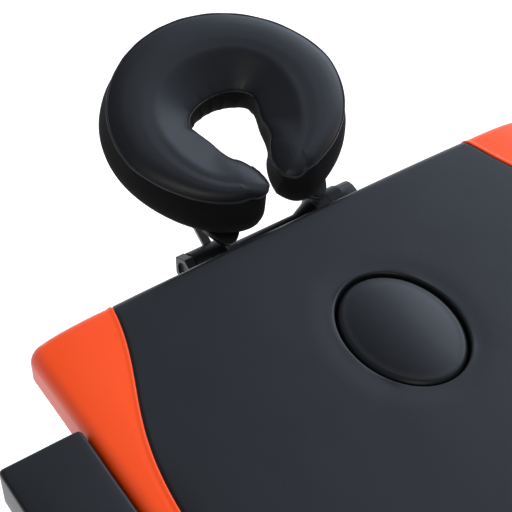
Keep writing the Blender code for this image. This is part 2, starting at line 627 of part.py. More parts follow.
# Knee braces: straight while the legs stand, folded flat behind the bracket when they lie in the frame
for half, toward_end, side in (("foot", -1, -1), ("head", 1, 1)):
    leg_y = FOLD_Y + toward_end * LEG_FROM_FOLD
    bracket_y = leg_y - toward_end * BRACE_PIVOT_FROM_LEG
    cross_z = RAIL_MIDDLE - CROSS_TUBE_DROP
    upper_pin = Vector((0, bracket_y, RAIL_MIDDLE))
    lower_pin = Vector((0, leg_y, cross_z))
    knee = upper_pin + (lower_pin - upper_pin) * UPPER_LINK / BRACE_SPAN
    plane = side * BRACE_X
    upper_low, upper_high = plane + BRACE_SIDE_GAP, plane + BRACE_SIDE_GAP + BRACE_THICKNESS
    lower_low, lower_high = plane - BRACE_SIDE_GAP - BRACE_THICKNESS, plane - BRACE_SIDE_GAP

    upper = link(f"{half}_brace_upper", upper_pin, knee, upper_low, upper_high, BRACE_WIDTH / 2)
    join(upper, rod(f"{half}_knee_rivet_upper", (upper_high - 2 * JOIN_STEP, knee.y, knee.z),
                    (upper_high + BRACE_RIVET_HEIGHT, knee.y, knee.z), BRACE_RIVET_RADIUS,
                    sides=SMALL_SIDES))
    cut(upper, rod(f"{half}_brace_upper_bore", (upper_low - CUT_MARGIN, upper_pin.y, upper_pin.z),
                   (upper_high + CUT_MARGIN, upper_pin.y, upper_pin.z),
                   BRACE_PIN_RADIUS + SLIDE_CLEARANCE, sides=SMALL_SIDES))
    finish(upper, "steel")

    lower = link(f"{half}_brace_lower", lower_pin, knee, lower_low, lower_high,
                 CROSS_TUBE_RADIUS + BRACE_THICKNESS)
    join(lower, rod(f"{half}_knee_rivet_lower", (lower_low + 2 * JOIN_STEP, knee.y, knee.z),
                    (lower_low - BRACE_RIVET_HEIGHT, knee.y, knee.z), BRACE_RIVET_RADIUS,
                    sides=SMALL_SIDES))
    cut(lower, rod(f"{half}_brace_lower_bore", (lower_low - CUT_MARGIN, lower_pin.y, lower_pin.z),
                   (lower_high + CUT_MARGIN, lower_pin.y, lower_pin.z),
                   CROSS_TUBE_RADIUS + SLIDE_CLEARANCE))
    finish(lower, "steel")

    ear_low = upper_high + BRACE_SIDE_GAP
    ear_high = ear_low + BRACE_THICKNESS
    plate_top = DECK_BOTTOM - SEAT_GAP
    plate_bottom = plate_top - BRACKET_PLATE_THICKNESS
    bracket = box(f"{half}_brace_bracket",
                  (ear_low - BRACKET_PLATE / 2, bracket_y - BRACKET_PLATE / 2, plate_bottom),
                  (ear_low + BRACKET_PLATE / 2, bracket_y + BRACKET_PLATE / 2, plate_top))
    join(bracket,
         box(f"{half}_bracket_ear", (ear_low, bracket_y - BRACE_WIDTH / 2, RAIL_MIDDLE),
             (ear_high, bracket_y + BRACE_WIDTH / 2, plate_top - BRACKET_PLATE_THICKNESS / 2)),
         rod(f"{half}_bracket_nose", (ear_low + JOIN_STEP, bracket_y, RAIL_MIDDLE),
             (ear_high - JOIN_STEP, bracket_y, RAIL_MIDDLE), BRACE_WIDTH / 2),
         rod(f"{half}_bracket_pin", (upper_low, bracket_y, RAIL_MIDDLE),
             (ear_high - 2 * JOIN_STEP, bracket_y, RAIL_MIDDLE), BRACE_PIN_RADIUS, sides=SMALL_SIDES))
    finish(bracket, "steel")

    upper_joint = pivot(f"{half}_brace_upper_axis", upper_pin)
    carry(upper_joint, upper)
    lower_joint = pivot(f"{half}_brace_lower_axis", lower_pin)
    carry(lower_joint, lower)
    carry(bpy.data.objects[f"{half}_leg_axis"], lower_joint)
    if half == "head":
        carry(fold_joint, upper_joint, bracket)


# Headrest posts: a steel rod in each hole of the end rail, moulded into the fixed half of a knuckle
knuckle_inner = POST_X - KNUCKLE_WIDTH / 2
knuckle_outer = POST_X + KNUCKLE_WIDTH / 2
slide_joint = pivot("headrest_slide_axis", KNUCKLE_AXIS)
carry(fold_joint, slide_joint)


def on_axis(x, offset=(0, 0)):
    """A point on the knuckle axis, or beside it, at a distance from the middle of the table."""
    return KNUCKLE_AXIS + Vector((x, *offset))


for side, sign in (("left", -1), ("right", 1)):
    neck_back = -KNUCKLE_RADIUS - POST_NECK_LENGTH
    post = rod(f"headrest_post_{side}", on_axis(sign * knuckle_inner), on_axis(sign * knuckle_outer),
               KNUCKLE_RADIUS)
    neck_half = KNUCKLE_WIDTH / 2 - JOIN_STEP
    neck = box(f"post_neck_{side}",
               on_axis(sign * POST_X - neck_half, (neck_back, -POST_NECK_HEIGHT / 2)),
               on_axis(sign * POST_X + neck_half, (0, POST_NECK_HEIGHT / 2)))
    inside = HEAD_EDGE_Y - POST_ROD_INSIDE - KNUCKLE_AXIS.y
    join(post, neck,
         rod(f"post_rod_{side}", on_axis(sign * POST_X, (inside, 0)),
             on_axis(sign * POST_X, (neck_back + KNUCKLE_RADIUS, 0)), POST_ROD_RADIUS, sides=SMALL_SIDES),
         rod(f"post_stub_{side}", on_axis(sign * POST_X),
             on_axis(sign * (knuckle_inner - KNUCKLE_STUB_LENGTH)), KNUCKLE_STUB_RADIUS,
             sides=SMALL_SIDES))
    if side == "right":
        join(post, rod("post_cap", on_axis(POST_X), on_axis(knuckle_outer + KNUCKLE_CAP_LENGTH),
                       KNUCKLE_RADIUS - KNUCKLE_CAP_STEP),
             rod("post_bolt_head", on_axis(knuckle_outer),
                 on_axis(knuckle_outer + KNUCKLE_CAP_LENGTH + BOLT_HEAD_HEIGHT), BOLT_HEAD_RADIUS, sides=6))
    else:
        screw_end = knuckle_outer + KNOB_LENGTH - KNOB_RECESS_DEPTH / 2
        join(post, rod("post_screw", on_axis(-POST_X), on_axis(-screw_end), KNOB_SCREW_RADIUS,
                       sides=SMALL_SIDES))
    carry(slide_joint, finish(post, "plastic"))

# Clamp knob on the left knuckle, six-sided, with the screw's end in its recess
knob_start = -knuckle_outer - SEAT_GAP
knob_end = knob_start - KNOB_LENGTH
knob = rod("headrest_clamp_knob", on_axis(knob_start), on_axis(knob_end), KNOB_RADIUS, sides=6)
cut(knob, rod("knob_recess", on_axis(knob_end + KNOB_RECESS_DEPTH), on_axis(knob_end - CUT_MARGIN),
              KNOB_RECESS_RADIUS, sides=SMALL_SIDES),
    rod("knob_bore", on_axis(knob_start + CUT_MARGIN), on_axis(knob_end - CUT_MARGIN),
        KNOB_SCREW_RADIUS + SLIDE_CLEARANCE, sides=SMALL_SIDES))
finish(knob, "plastic")
knob_joint = pivot("headrest_knob_axis", on_axis(knob_start))
carry(knob_joint, knob)
carry(slide_joint, knob_joint)

# Yoke: the moving halves of the two knuckles and the round bar between them
hub_outer = knuckle_inner - SEAT_GAP
hub_inner = hub_outer - HUB_WIDTH
arms_joint = pivot("headrest_arms_axis", KNUCKLE_AXIS)
carry(slide_joint, arms_joint)
arm_middle = (hub_outer + hub_inner) / 2
arm_span = TILT_AXIS - KNUCKLE_AXIS
arm_length = arm_span.length
arm_turn = arm_span.to_track_quat("Y", "Z").to_matrix().to_4x4()


def along_arm(name, x_middle, width, thickness, start, end):
    """A bar along the arm, between two distances from the knuckle axis."""
    bar = box(name, (-width / 2, start, -thickness / 2), (width / 2, end, thickness / 2))
    bar.data.transform(Matrix.Translation(bar.location))
    bar.matrix_world = Matrix.Translation(on_axis(x_middle)) @ arm_turn
    return bar


yoke = rod("headrest_yoke", on_axis(-hub_inner - HUB_WIDTH / 2), on_axis(hub_inner + HUB_WIDTH / 2),
           YOKE_BAR_RADIUS)
for side, sign in (("left", -1), ("right", 1)):
    join(yoke,
         rod(f"yoke_hub_{side}", on_axis(sign * hub_inner), on_axis(sign * hub_outer), KNUCKLE_RADIUS),
         rod(f"yoke_flare_{side}", on_axis(sign * (hub_inner + JOIN_STEP)),
             on_axis(sign * (hub_inner - YOKE_FLARE_LENGTH)),
             KNUCKLE_RADIUS - KNUCKLE_CAP_STEP, YOKE_BAR_RADIUS - JOIN_STEP))
for side, sign in (("left", -1), ("right", 1)):
    stub_end = knuckle_inner - KNUCKLE_STUB_LENGTH - SEAT_GAP
    cut(yoke,
        rod(f"yoke_bore_{side}", on_axis(sign * stub_end), on_axis(sign * (hub_outer + CUT_MARGIN)),
            KNUCKLE_STUB_RADIUS + SLIDE_CLEARANCE, sides=SMALL_SIDES),
        along_arm(f"yoke_slot_{side}", sign * arm_middle, ARM_WIDTH + 2 * SEAT_GAP,
                  ARM_THICKNESS + 2 * SEAT_GAP, ARM_ROOT - SEAT_GAP, KNUCKLE_RADIUS + CUT_MARGIN))
carry(arms_joint, finish(yoke, "plastic"))

# Arms: flat steel bars from slots in the hubs to the eyes on which the platform tilts
tilt_pin_end = arm_middle - ARM_WIDTH / 2 - EAR_THICKNESS - SEAT_GAP
for side, sign in (("left", -1), ("right", 1)):
    arm = along_arm(f"headrest_arm_{side}", sign * arm_middle, ARM_WIDTH, ARM_THICKNESS, ARM_ROOT,
                    arm_length)
    half_width = ARM_WIDTH / 2 - JOIN_STEP
    tilt_point = Vector((sign * arm_middle, TILT_AXIS.y, TILT_AXIS.z))
    join(arm, rod(f"arm_eye_{side}", tilt_point - Vector((half_width, 0, 0)),
                  tilt_point + Vector((half_width, 0, 0)), TILT_EYE_RADIUS))
    if side == "right":
        join(arm, rod("arm_tilt_pin", tilt_point, Vector((tilt_pin_end, TILT_AXIS.y, TILT_AXIS.z)),
                      TILT_PIN_RADIUS, sides=SMALL_SIDES))
    else:
        cut(arm, rod("arm_tilt_bore", tilt_point - Vector((CUT_MARGIN, 0, 0)),
                     tilt_point + Vector((CUT_MARGIN, 0, 0)), TILT_PIN_RADIUS + SLIDE_CLEARANCE,
                     sides=SMALL_SIDES))
    carry(arms_joint, finish(arm, "steel"))

# Cam lever: its pin passes through the left arm into the platform's ear
cam_face = arm_middle + ARM_WIDTH / 2 + SEAT_GAP
cam_middle = cam_face + CAM_HUB_WIDTH / 2
cam = rod("headrest_cam_lever", TILT_AXIS - Vector((cam_face, 0, 0)),
          TILT_AXIS - Vector((cam_face + CAM_HUB_WIDTH, 0, 0)), CAM_HUB_RADIUS)
cam_bar = along_arm("cam_bar", -cam_middle, CAM_HUB_WIDTH - 2 * JOIN_STEP, CAM_LEVER_THICKNESS,
                    arm_length - CAM_LEVER_LENGTH, arm_length)
join(cam, cam_bar, rod("cam_pin", TILT_AXIS - Vector((cam_middle, 0, 0)),
                       TILT_AXIS - Vector((tilt_pin_end, 0, 0)), TILT_PIN_RADIUS, sides=SMALL_SIDES))
finish(cam, "plastic")
cam_joint = pivot("headrest_cam_axis", TILT_AXIS)
carry(cam_joint, cam)
carry(arms_joint, cam_joint)


def arc_section(turn, level):
    """Middle, outward direction and half width of the horseshoe at an angle from its far end."""
    far = abs(turn) < pi / 2
    length = CRADLE_ARC_LENGTH_FAR if far else CRADLE_ARC_LENGTH_NEAR
    middle = Vector((CRADLE_ARC_WIDTH * sin(turn), length * cos(turn), level))
    out = Vector((sin(turn) / CRADLE_ARC_WIDTH, cos(turn) / length, 0)).normalized()
    narrow = CRADLE_HALF_WIDTH_FAR if far else CRADLE_HALF_WIDTH_END
    return middle, out, narrow + (CRADLE_HALF_WIDTH_SIDE - narrow) * sin(turn) ** 2


def horseshoe(inset, level, lobe_reach=0.0):
    """Outline of the headrest, open towards the table: an arc of varying width with round lobes."""
    outer, inner, lobes = [], [], []
    for step in range(CRADLE_ARC_STEPS + 1):
        spine, out, width = arc_section(CRADLE_ARC_END * (2 * step / CRADLE_ARC_STEPS - 1), level)
        outer.append(spine + out * (width - inset))
        inner.append(spine - out * (width - inset))
    for sign in (1, -1):
        spine, out, width = arc_section(sign * CRADLE_ARC_END, level)
        ahead = Vector((out.y, -out.x, 0)) * sign
        turns = [pi * step / CRADLE_LOBE_STEPS for step in range(1, CRADLE_LOBE_STEPS)]
        tip = ahead * (width - inset) - Vector((0, lobe_reach, 0))
        lobes.append([spine + out * cos(turn) * (width - inset) + tip * sin(turn) for turn in turns])
    return outer + lobes[0] + inner[::-1] + lobes[1][::-1]


def cradle_piece(name, rings):
    piece = loft(name, rings)
    piece.matrix_world = Matrix.Translation(CRADLE_CENTRE) @ CRADLE_TURN
    return piece


# Platform: a horseshoe board with two ears that hang on the arms
platform_top = -CUSHION_DEPTH
platform_bottom = platform_top - PLATFORM_THICKNESS
platform = cradle_piece("headrest_platform", [
    horseshoe(PLATFORM_INSET, platform_bottom, PLATFORM_LOBE_REACH),
    horseshoe(PLATFORM_INSET, platform_top - SEAT_GAP, PLATFORM_LOBE_REACH)])
for side, sign in (("left", -1), ("right", 1)):
    ear_outer = arm_middle - ARM_WIDTH / 2 - SEAT_GAP
    ear_inner = ear_outer - EAR_THICKNESS
    x_low, x_high = sorted((sign * ear_inner, sign * ear_outer))
    ear = box(f"platform_ear_{side}", (x_low, TILT_AXIS_ALONG - TILT_EYE_RADIUS, TILT_LEVEL),
              (x_high, TILT_AXIS_ALONG + TILT_EYE_RADIUS, platform_top - PLATFORM_THICKNESS / 2))
    ear.data.transform(Matrix.Translation(ear.location))
    ear.matrix_world = Matrix.Translation(CRADLE_CENTRE) @ CRADLE_TURN
    tilt_low = Vector((x_low, TILT_AXIS.y, TILT_AXIS.z))
    tilt_high = Vector((x_high, TILT_AXIS.y, TILT_AXIS.z))
    inward = Vector((JOIN_STEP, 0, 0))
    join(platform, ear, rod(f"ear_nose_{side}", tilt_low + inward, tilt_high - inward, TILT_EYE_RADIUS))
    margin = Vector((CUT_MARGIN, 0, 0))
    cut(platform, rod(f"ear_bore_{side}", tilt_low - margin, tilt_high + margin,
                      TILT_PIN_RADIUS + SLIDE_CLEARANCE, sides=SMALL_SIDES))
finish(platform, "board")
platform_joint = pivot("headrest_platform_axis", TILT_AXIS)
carry(platform_joint, platform)
carry(arms_joint, platform_joint)

# Headrest cushion: crowned, with a welt at its upper edge and sides drawn in below it
cushion_bottom = -CUSHION_DEPTH
cushion = cradle_piece("headrest_cushion", [
    horseshoe(CUSHION_EDGE / 2, cushion_bottom),
    horseshoe(0, cushion_bottom + CUSHION_EDGE),
    horseshoe(CUSHION_DRAW_IN, cushion_bottom + CUSHION_DEPTH / 2),
    horseshoe(0, -CUSHION_EDGE),
    horseshoe(CUSHION_EDGE / 2, 0),
    horseshoe(2 * CUSHION_EDGE, CUSHION_CROWN * 2 / 3),
    horseshoe(4 * CUSHION_EDGE, CUSHION_CROWN)])
finish(cushion, "vinyl")
cushion_joint = pivot("headrest_cushion_axis", CRADLE_CENTRE)
carry(cushion_joint, cushion)
carry(platform_joint, cushion_joint)

# Armrests: a padded board on a batten, with two rods that plug into the side rail
for side, sign in (("left", -1), ("right", 1)):
    inner = sign * (HALF_WIDTH + ARMREST_GAP)
    outer = inner + sign * ARMREST_WIDTH
    x_low, x_high = sorted((inner, outer))
    pad_low = TABLE_HEIGHT - ARMREST_THICKNESS
    pad = cushion_block(f"armrest_pad_{side}", (x_low, ARMREST_Y_LOW, pad_low),
                        (x_high, ARMREST_Y_HIGH, TABLE_HEIGHT), ARMREST_EDGE, ARMREST_CROWN, 0,
                        ARMREST_LEVELS)
    finish(pad, "vinyl")
    middle = (inner + outer) / 2
    bracket = box(f"armrest_bracket_{side}",
                  (middle - BATTEN_WIDTH / 2, ARMREST_Y_LOW + BATTEN_END_INSET, ARMREST_ROD_Z),
                  (middle + BATTEN_WIDTH / 2, ARMREST_Y_HIGH - BATTEN_END_INSET, pad_low - SEAT_GAP))
    for number, y in enumerate(ARMREST_ROD_Y):
        join(bracket, rod(f"armrest_rod_{side}_{number}", (middle, y, ARMREST_ROD_Z),
                          (sign * (RAIL_INNER_X - ARMREST_ROD_INSIDE), y, ARMREST_ROD_Z),
                          ARMREST_ROD_RADIUS, sides=SMALL_SIDES))
    finish(bracket, "steel")
    armrest_joint = pivot(f"armrest_axis_{side}",
                          (inner, (ARMREST_Y_LOW + ARMREST_Y_HIGH) / 2, ARMREST_ROD_Z))
    carry(armrest_joint, pad, bracket)
    carry(fold_joint, armrest_joint)

# Draw latch on the foot end rail, and its keeper on the head end rail
latch_face = FOLD_Y - HALF_LENGTH + FRAME_INSET - SEAT_GAP
latch_plate_face = latch_face - LATCH_PLATE_THICKNESS
latch_axis = Vector((LATCH_X, latch_plate_face - LATCH_EAR / 2, RAIL_MIDDLE + LATCH_PIN_RISE))
latch_half = LATCH_WIDTH / 2
latch_base = box("latch_base", (LATCH_X - latch_half, latch_plate_face, RAIL_BOTTOM + LATCH_PLATE_MARGIN),
                 (LATCH_X + latch_half, latch_face, RAIL_TOP - LATCH_PLATE_MARGIN))
ear_inside = latch_half - LATCH_LEVER_THICKNESS
for side, sign in (("left", -1), ("right", 1)):
    x_low, x_high = sorted((LATCH_X + sign * ear_inside, LATCH_X + sign * (latch_half - JOIN_STEP)))
    join(latch_base, box(f"latch_ear_{side}",
                         (x_low, latch_plate_face - LATCH_EAR, latch_axis.z - LATCH_EAR / 2),
                         (x_high, latch_face - LATCH_PLATE_THICKNESS / 2, latch_axis.z + LATCH_EAR / 2)))
latch_pin_reach = Vector((latch_half - 2 * JOIN_STEP, 0, 0))
join(latch_base, rod("latch_pin", latch_axis - latch_pin_reach, latch_axis + latch_pin_reach,
                     LATCH_PIN_RADIUS, sides=SMALL_SIDES))
finish(latch_base, "steel")
lever_half = ear_inside - SEAT_GAP
latch_lever = box("latch_lever",
                  latch_axis + Vector((-lever_half, -LATCH_LEVER_THICKNESS / 2, -LATCH_LEVER_LENGTH)),
                  latch_axis + Vector((lever_half, LATCH_LEVER_THICKNESS / 2, 0)))
lever_eye_reach = Vector((lever_half - JOIN_STEP, 0, 0))
join(latch_lever, rod("latch_lever_eye", latch_axis - lever_eye_reach, latch_axis + lever_eye_reach,
                      2 * LATCH_PIN_RADIUS))
lever_bore_reach = Vector((latch_half, 0, 0))
cut(latch_lever, rod("latch_lever_bore", latch_axis - lever_bore_reach, latch_axis + lever_bore_reach,
                     LATCH_PIN_RADIUS + SLIDE_CLEARANCE, sides=SMALL_SIDES))
finish(latch_lever, "steel")
latch_joint = pivot("latch_lever_axis", latch_axis)
carry(latch_joint, latch_lever)

keeper_face = HEAD_EDGE_Y - FRAME_INSET + SEAT_GAP
keeper_out = keeper_face + LATCH_PLATE_THICKNESS
latch_keeper = box("latch_keeper", (LATCH_X - latch_half, keeper_face, RAIL_BOTTOM + LATCH_PLATE_MARGIN),
                   (LATCH_X + latch_half, keeper_out, RAIL_MIDDLE + LATCH_PIN_RISE))
hook_out = keeper_out + LATCH_EAR / 2
lip_half = ear_inside - JOIN_STEP
join(latch_keeper,
     box("keeper_shelf", (LATCH_X - ear_inside, keeper_face + LATCH_PLATE_THICKNESS / 2, RAIL_MIDDLE),
         (LATCH_X + ear_inside, hook_out, RAIL_MIDDLE + LATCH_LEVER_THICKNESS)),
     box("keeper_lip", (LATCH_X - lip_half, hook_out - LATCH_PLATE_THICKNESS, RAIL_MIDDLE + JOIN_STEP),
         (LATCH_X + lip_half, hook_out - JOIN_STEP, RAIL_MIDDLE + LATCH_PIN_RISE)))
finish(latch_keeper, "steel")
carry(fold_joint, latch_keeper)

# Carry handle: a webbing strap on the right side rail of the foot half
handle_y = FOLD_Y - HALF_LENGTH / 2
handle_x = FRAME_X + SEAT_GAP
half_handle = HANDLE_LENGTH / 2
shoulder = half_handle - HANDLE_FOOT
crest = shoulder - HANDLE_STAND_OFF
strap_side = [(0, half_handle), (HANDLE_THICKNESS, half_handle),
              (HANDLE_THICKNESS, shoulder + HANDLE_THICKNESS), (HANDLE_STAND_OFF, crest)]
strap_under = [(HANDLE_STAND_OFF - HANDLE_THICKNESS, crest - HANDLE_THICKNESS), (0, shoulder)]
strap = (strap_side + [(x, -y) for x, y in strap_side[::-1]]
         + [(x, -y) for x, y in strap_under[::-1]] + strap_under)
carry_handle = loft("carry_handle", [
    [(handle_x + x, handle_y + y, RAIL_MIDDLE + level * HANDLE_HEIGHT / 2) for x, y in strap]
    for level in (-1, 1)])
finish(carry_handle, "webbing")
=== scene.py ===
import json
from math import atan2, copysign, cos, degrees, exp, pi, radians, sin

import bmesh
import bpy
import numpy as np
from mathutils import Matrix, Vector, noise

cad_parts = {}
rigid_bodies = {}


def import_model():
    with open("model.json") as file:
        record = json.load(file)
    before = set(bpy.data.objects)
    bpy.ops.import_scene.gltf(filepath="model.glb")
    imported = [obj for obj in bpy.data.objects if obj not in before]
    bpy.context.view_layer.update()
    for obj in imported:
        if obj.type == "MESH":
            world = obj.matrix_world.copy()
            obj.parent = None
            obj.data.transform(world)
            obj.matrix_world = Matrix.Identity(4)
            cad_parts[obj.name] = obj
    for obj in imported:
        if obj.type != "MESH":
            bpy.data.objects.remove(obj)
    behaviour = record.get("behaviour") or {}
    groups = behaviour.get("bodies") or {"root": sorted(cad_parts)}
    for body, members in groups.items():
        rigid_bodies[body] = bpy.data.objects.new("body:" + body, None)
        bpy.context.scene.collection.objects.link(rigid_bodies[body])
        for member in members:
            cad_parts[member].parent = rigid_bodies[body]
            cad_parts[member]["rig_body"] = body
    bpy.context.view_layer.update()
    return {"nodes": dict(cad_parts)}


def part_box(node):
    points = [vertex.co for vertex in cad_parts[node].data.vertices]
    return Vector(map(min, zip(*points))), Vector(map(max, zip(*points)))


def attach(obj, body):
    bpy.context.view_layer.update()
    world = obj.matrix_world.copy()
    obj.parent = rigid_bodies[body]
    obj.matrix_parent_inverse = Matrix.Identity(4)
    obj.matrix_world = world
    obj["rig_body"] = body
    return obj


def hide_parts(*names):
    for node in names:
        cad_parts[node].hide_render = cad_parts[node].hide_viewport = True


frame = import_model()


# Camera: stands over the table's left side and looks down across the headrest and the head half.
# A long lens keeps the table's edges nearly parallel, as they are in the photograph.
camera_spot, focal_length, film_width = (-0.6518, -0.1176, 1.7761), 102.18, 36
look_down, look_right, lean_over = (radians(angle) for angle in (46.70, 33.50, 0.35))
scene = bpy.context.scene
show = scene.collection.objects.link
lens = bpy.data.cameras.new("camera")
lens.lens, lens.sensor_width = focal_length, film_width
camera = bpy.data.objects.new("camera", lens)
camera.location = camera_spot
camera.rotation_euler = (
    Matrix.Rotation(-look_right, 3, "Z") @ Matrix.Rotation(pi / 2 - look_down, 3, "X")
    @ Matrix.Rotation(lean_over, 3, "Z")).to_euler()
show(camera)
scene.camera = camera


# Studio: a seamless pale floor in a white room, as a product photographer uses.
# A window fills the right wall and the backdrop is bright low down, so the vinyl's sheen falls
# away to the left; the large soft box over the table is baffled, and gives shade but no glints.
def linear(code):
    """Linear colour of an sRGB hex value."""
    parts = [int(code[start:start + 2], 16) / 255 for start in (1, 3, 5)]
    return [part / 12.92 if part <= 0.04045 else ((part + 0.055) / 1.055) ** 2.4
            for part in parts] + [1]


def add(tree, kind, sockets=None, **settings):
    """A shader node with its settings, and with values or links on its sockets."""
    node = tree.nodes.new("ShaderNode" + kind)
    for name, value in settings.items():
        setattr(node, name, value)
    for name, value in (sockets or {}).items():
        if isinstance(value, bpy.types.NodeSocket):
            tree.links.new(value, node.inputs[name])
        else:
            node.inputs[name].default_value = value
    return node


def new_finish(name):
    """An empty material and its node tree."""
    finish = bpy.data.materials.new(name)
    finish.use_nodes = True
    finish.node_tree.nodes.clear()
    return finish, finish.node_tree


def close_finish(tree, **sockets):
    """The shader that ends a material."""
    shader = add(tree, "BsdfPrincipled",
                 {name.replace("_", " "): value for name, value in sockets.items()})
    add(tree, "OutputMaterial", {"Surface": shader.outputs[0]})


def calc(tree, operation, first, second):
    """The sum, product or maximum of two values."""
    return add(tree, "Math", {0: first, 1: second}, operation=operation).outputs[0]


def span(tree, value, low, high, start=0.0, end=1.0, **settings):
    """A value that runs from low to high while another runs from start to end."""
    return add(tree, "MapRange", {
        "Value": value, "From Min": start, "From Max": end, "To Min": low, "To Max": high},
        **settings).outputs[0]


def shown_to_eye(tree):
    """1 for rays that show the room: those of the camera, of a gloss and of glass."""
    path = add(tree, "LightPath").outputs
    seen = calc(tree, "MAXIMUM", path["Is Camera Ray"], path["Is Glossy Ray"])
    return calc(tree, "MAXIMUM", seen, path["Is Transmission Ray"])


def glow_along(tree, way, start, end, strength):
    """Light of a part of the room that grows along a direction."""
    toward = add(tree, "TexCoord").outputs["Generated"]
    facing = add(tree, "VectorMath", {0: toward, 1: way}, operation="DOT_PRODUCT")
    return span(tree, facing.outputs["Value"], 0.0, strength, start, end,
                interpolation_type="SMOOTHSTEP")


scene.view_settings.view_transform = "Standard"
room = bpy.data.worlds.new("white_room")
room.use_nodes = True
tree = room.node_tree
tree.nodes.clear()
window_way, back_way, down = (0.853, 0.228, 0.469), (0.45, 0.89, 0), (0, 0, -1)
window_glow, surround_glow, backdrop_glow, wall_glow, ambient_glow = 1.6, 0.43, 1.0, 0.12, 0.50
backdrop = calc(tree, "MULTIPLY", glow_along(tree, down, -0.45, -0.15, backdrop_glow),
                glow_along(tree, back_way, 0.2, 0.6, 1.0))
window = calc(tree, "ADD", glow_along(tree, window_way, 0.45, 0.70, surround_glow),
              glow_along(tree, window_way, 0.82, 0.97, window_glow))
brightness = calc(tree, "ADD", calc(tree, "ADD", window, backdrop), wall_glow)
walls, white, ambient = (
    add(tree, "Background", {"Color": linear(code), "Strength": glow}).outputs[0]
    for code, glow in (("#dfebff", brightness), ("#ffffff", 1.0), ("#f4f6ff", ambient_glow)))
inside = add(tree, "MixShader", {0: shown_to_eye(tree), 1: ambient, 2: walls})
path = add(tree, "LightPath").outputs
mixed = add(tree, "MixShader", {0: path["Is Camera Ray"], 1: inside.outputs[0], 2: white})
add(tree, "OutputWorld", {"Surface": mixed.outputs[0]})
scene.world = room

# Matt paper, lit through from behind: an even white without a gloss
paper, tree = new_finish("matt_white_paper")
paper_glow = 0.55
close_finish(tree, Base_Color=linear("#f1f1f1"), Roughness=0.9, Emission_Color=linear("#ffffff"),
             Emission_Strength=calc(tree, "MULTIPLY", shown_to_eye(tree), paper_glow))
floor_reach, floor_level = 30, -0.0005
floor_sheet = bpy.data.meshes.new("floor")
floor_sheet.from_pydata([(x * floor_reach, y * floor_reach, floor_level)
                         for x, y in ((-1, -1), (1, -1), (1, 1), (-1, 1))], [], [(0, 1, 2, 3)])
floor_sheet.materials.append(paper)
floor = bpy.data.objects.new("floor", floor_sheet)
show(floor)

lamp_aim = Vector((0.0, 0.3, 0.65))
for name, spot, side, watts, colour in (
        ("key_soft_box", (1.93, 0.82, 3.50), 2.4, 105, "#fbfcff"),
        ("fill_soft_box", (-1.6, -1.8, 2.4), 1.6, 14, "#fff8f0")):
    lamp = bpy.data.lights.new(name, "AREA")
    lamp.size, lamp.energy, lamp.color = side, watts, linear(colour)[:3]
    box = bpy.data.objects.new(name, lamp)
    box.location = spot
    box.rotation_euler = (lamp_aim - Vector(spot)).to_track_quat("-Z", "Y").to_euler()
    box.visible_glossy = name != "key_soft_box"
    show(box)


# Deck boards: two sheets of birch plywood, sawn to size, that carry the foam of each half.
# They lie on the aluminium frame; the head one has an oval hole with a ledge for the face plug.
def object_place(tree):
    """Place on a piece in metres, which moves with the piece."""
    return add(tree, "TexCoord").outputs["Object"]


def speckle(tree, size, detail, place=None, **sockets):
    """Soft spots of about a real size in metres."""
    place = object_place(tree) if place is None else place
    return add(tree, "TexNoise", {
        "Vector": place, "Scale": 1 / size, "Detail": detail, **sockets}).outputs[0]


def blend(tree, share, dark, light):
    """A colour between two, by the value of a pattern."""
    return add(tree, "Mix", {"Factor": share, "A": linear(dark), "B": linear(light)},
               data_type="RGBA").outputs["Result"]


def relief(tree, height, strength, depth, **sockets):
    """Bumps that follow a pattern, of a depth in metres."""
    return add(tree, "Bump", {
        "Height": height, "Strength": strength, "Distance": depth, **sockets}).outputs[0]


def ride_as(piece, body, slot, *nodes):
    """Put a piece on its body, with the CAD pieces that it stands for; its slot is not used."""
    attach(piece, body)
    if nodes:
        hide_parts(*nodes)
    return piece


def put_mesh(name, mesh, finish, sharp):
    """An object of a mesh, smooth but for edges that are sharper than an angle in degrees."""
    mesh.shade_smooth()
    mesh.set_sharp_from_angle(angle=radians(sharp))
    mesh.materials.append(finish)
    piece = bpy.data.objects.new(name, mesh)
    show(piece)
    return piece


def new_piece(name, points, faces, finish, sharp=50):
    """A piece from points and faces."""
    weld = 1e-6
    mesh = bpy.data.meshes.new(name)
    mesh.from_pydata([tuple(point) for point in points], [], faces)
    shape = bmesh.new()
    shape.from_mesh(mesh)
    bmesh.ops.remove_doubles(shape, verts=shape.verts[:], dist=weld)
    bmesh.ops.recalc_face_normals(shape, faces=shape.faces[:])
    shape.to_mesh(mesh)
    shape.free()
    return put_mesh(name, mesh, finish, sharp)


def eased_copy(node, name, finish, slot, ease=0.0008):
    """A CAD piece with its edges eased, as a file or a tumbling drum leaves them."""
    weld, flat_angle, edge_angle = 1e-5, 1, 35
    source = frame["nodes"][node]
    shape = bmesh.new()
    shape.from_mesh(source.data)
    bmesh.ops.remove_doubles(shape, verts=shape.verts[:], dist=weld)
    bmesh.ops.dissolve_limit(shape, angle_limit=radians(flat_angle), verts=shape.verts[:],
                             edges=shape.edges[:])
    mesh = bpy.data.meshes.new(name)
    shape.to_mesh(mesh)
    shape.free()
    piece = put_mesh(name, mesh, finish, edge_angle)
    bevel = piece.modifiers.new("eased_edges", "BEVEL")
    bevel.width, bevel.segments = ease, 2
    bevel.limit_method, bevel.angle_limit = "ANGLE", radians(edge_angle)
    bevel.harden_normals = True
    return ride_as(piece, source["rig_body"], slot, node)


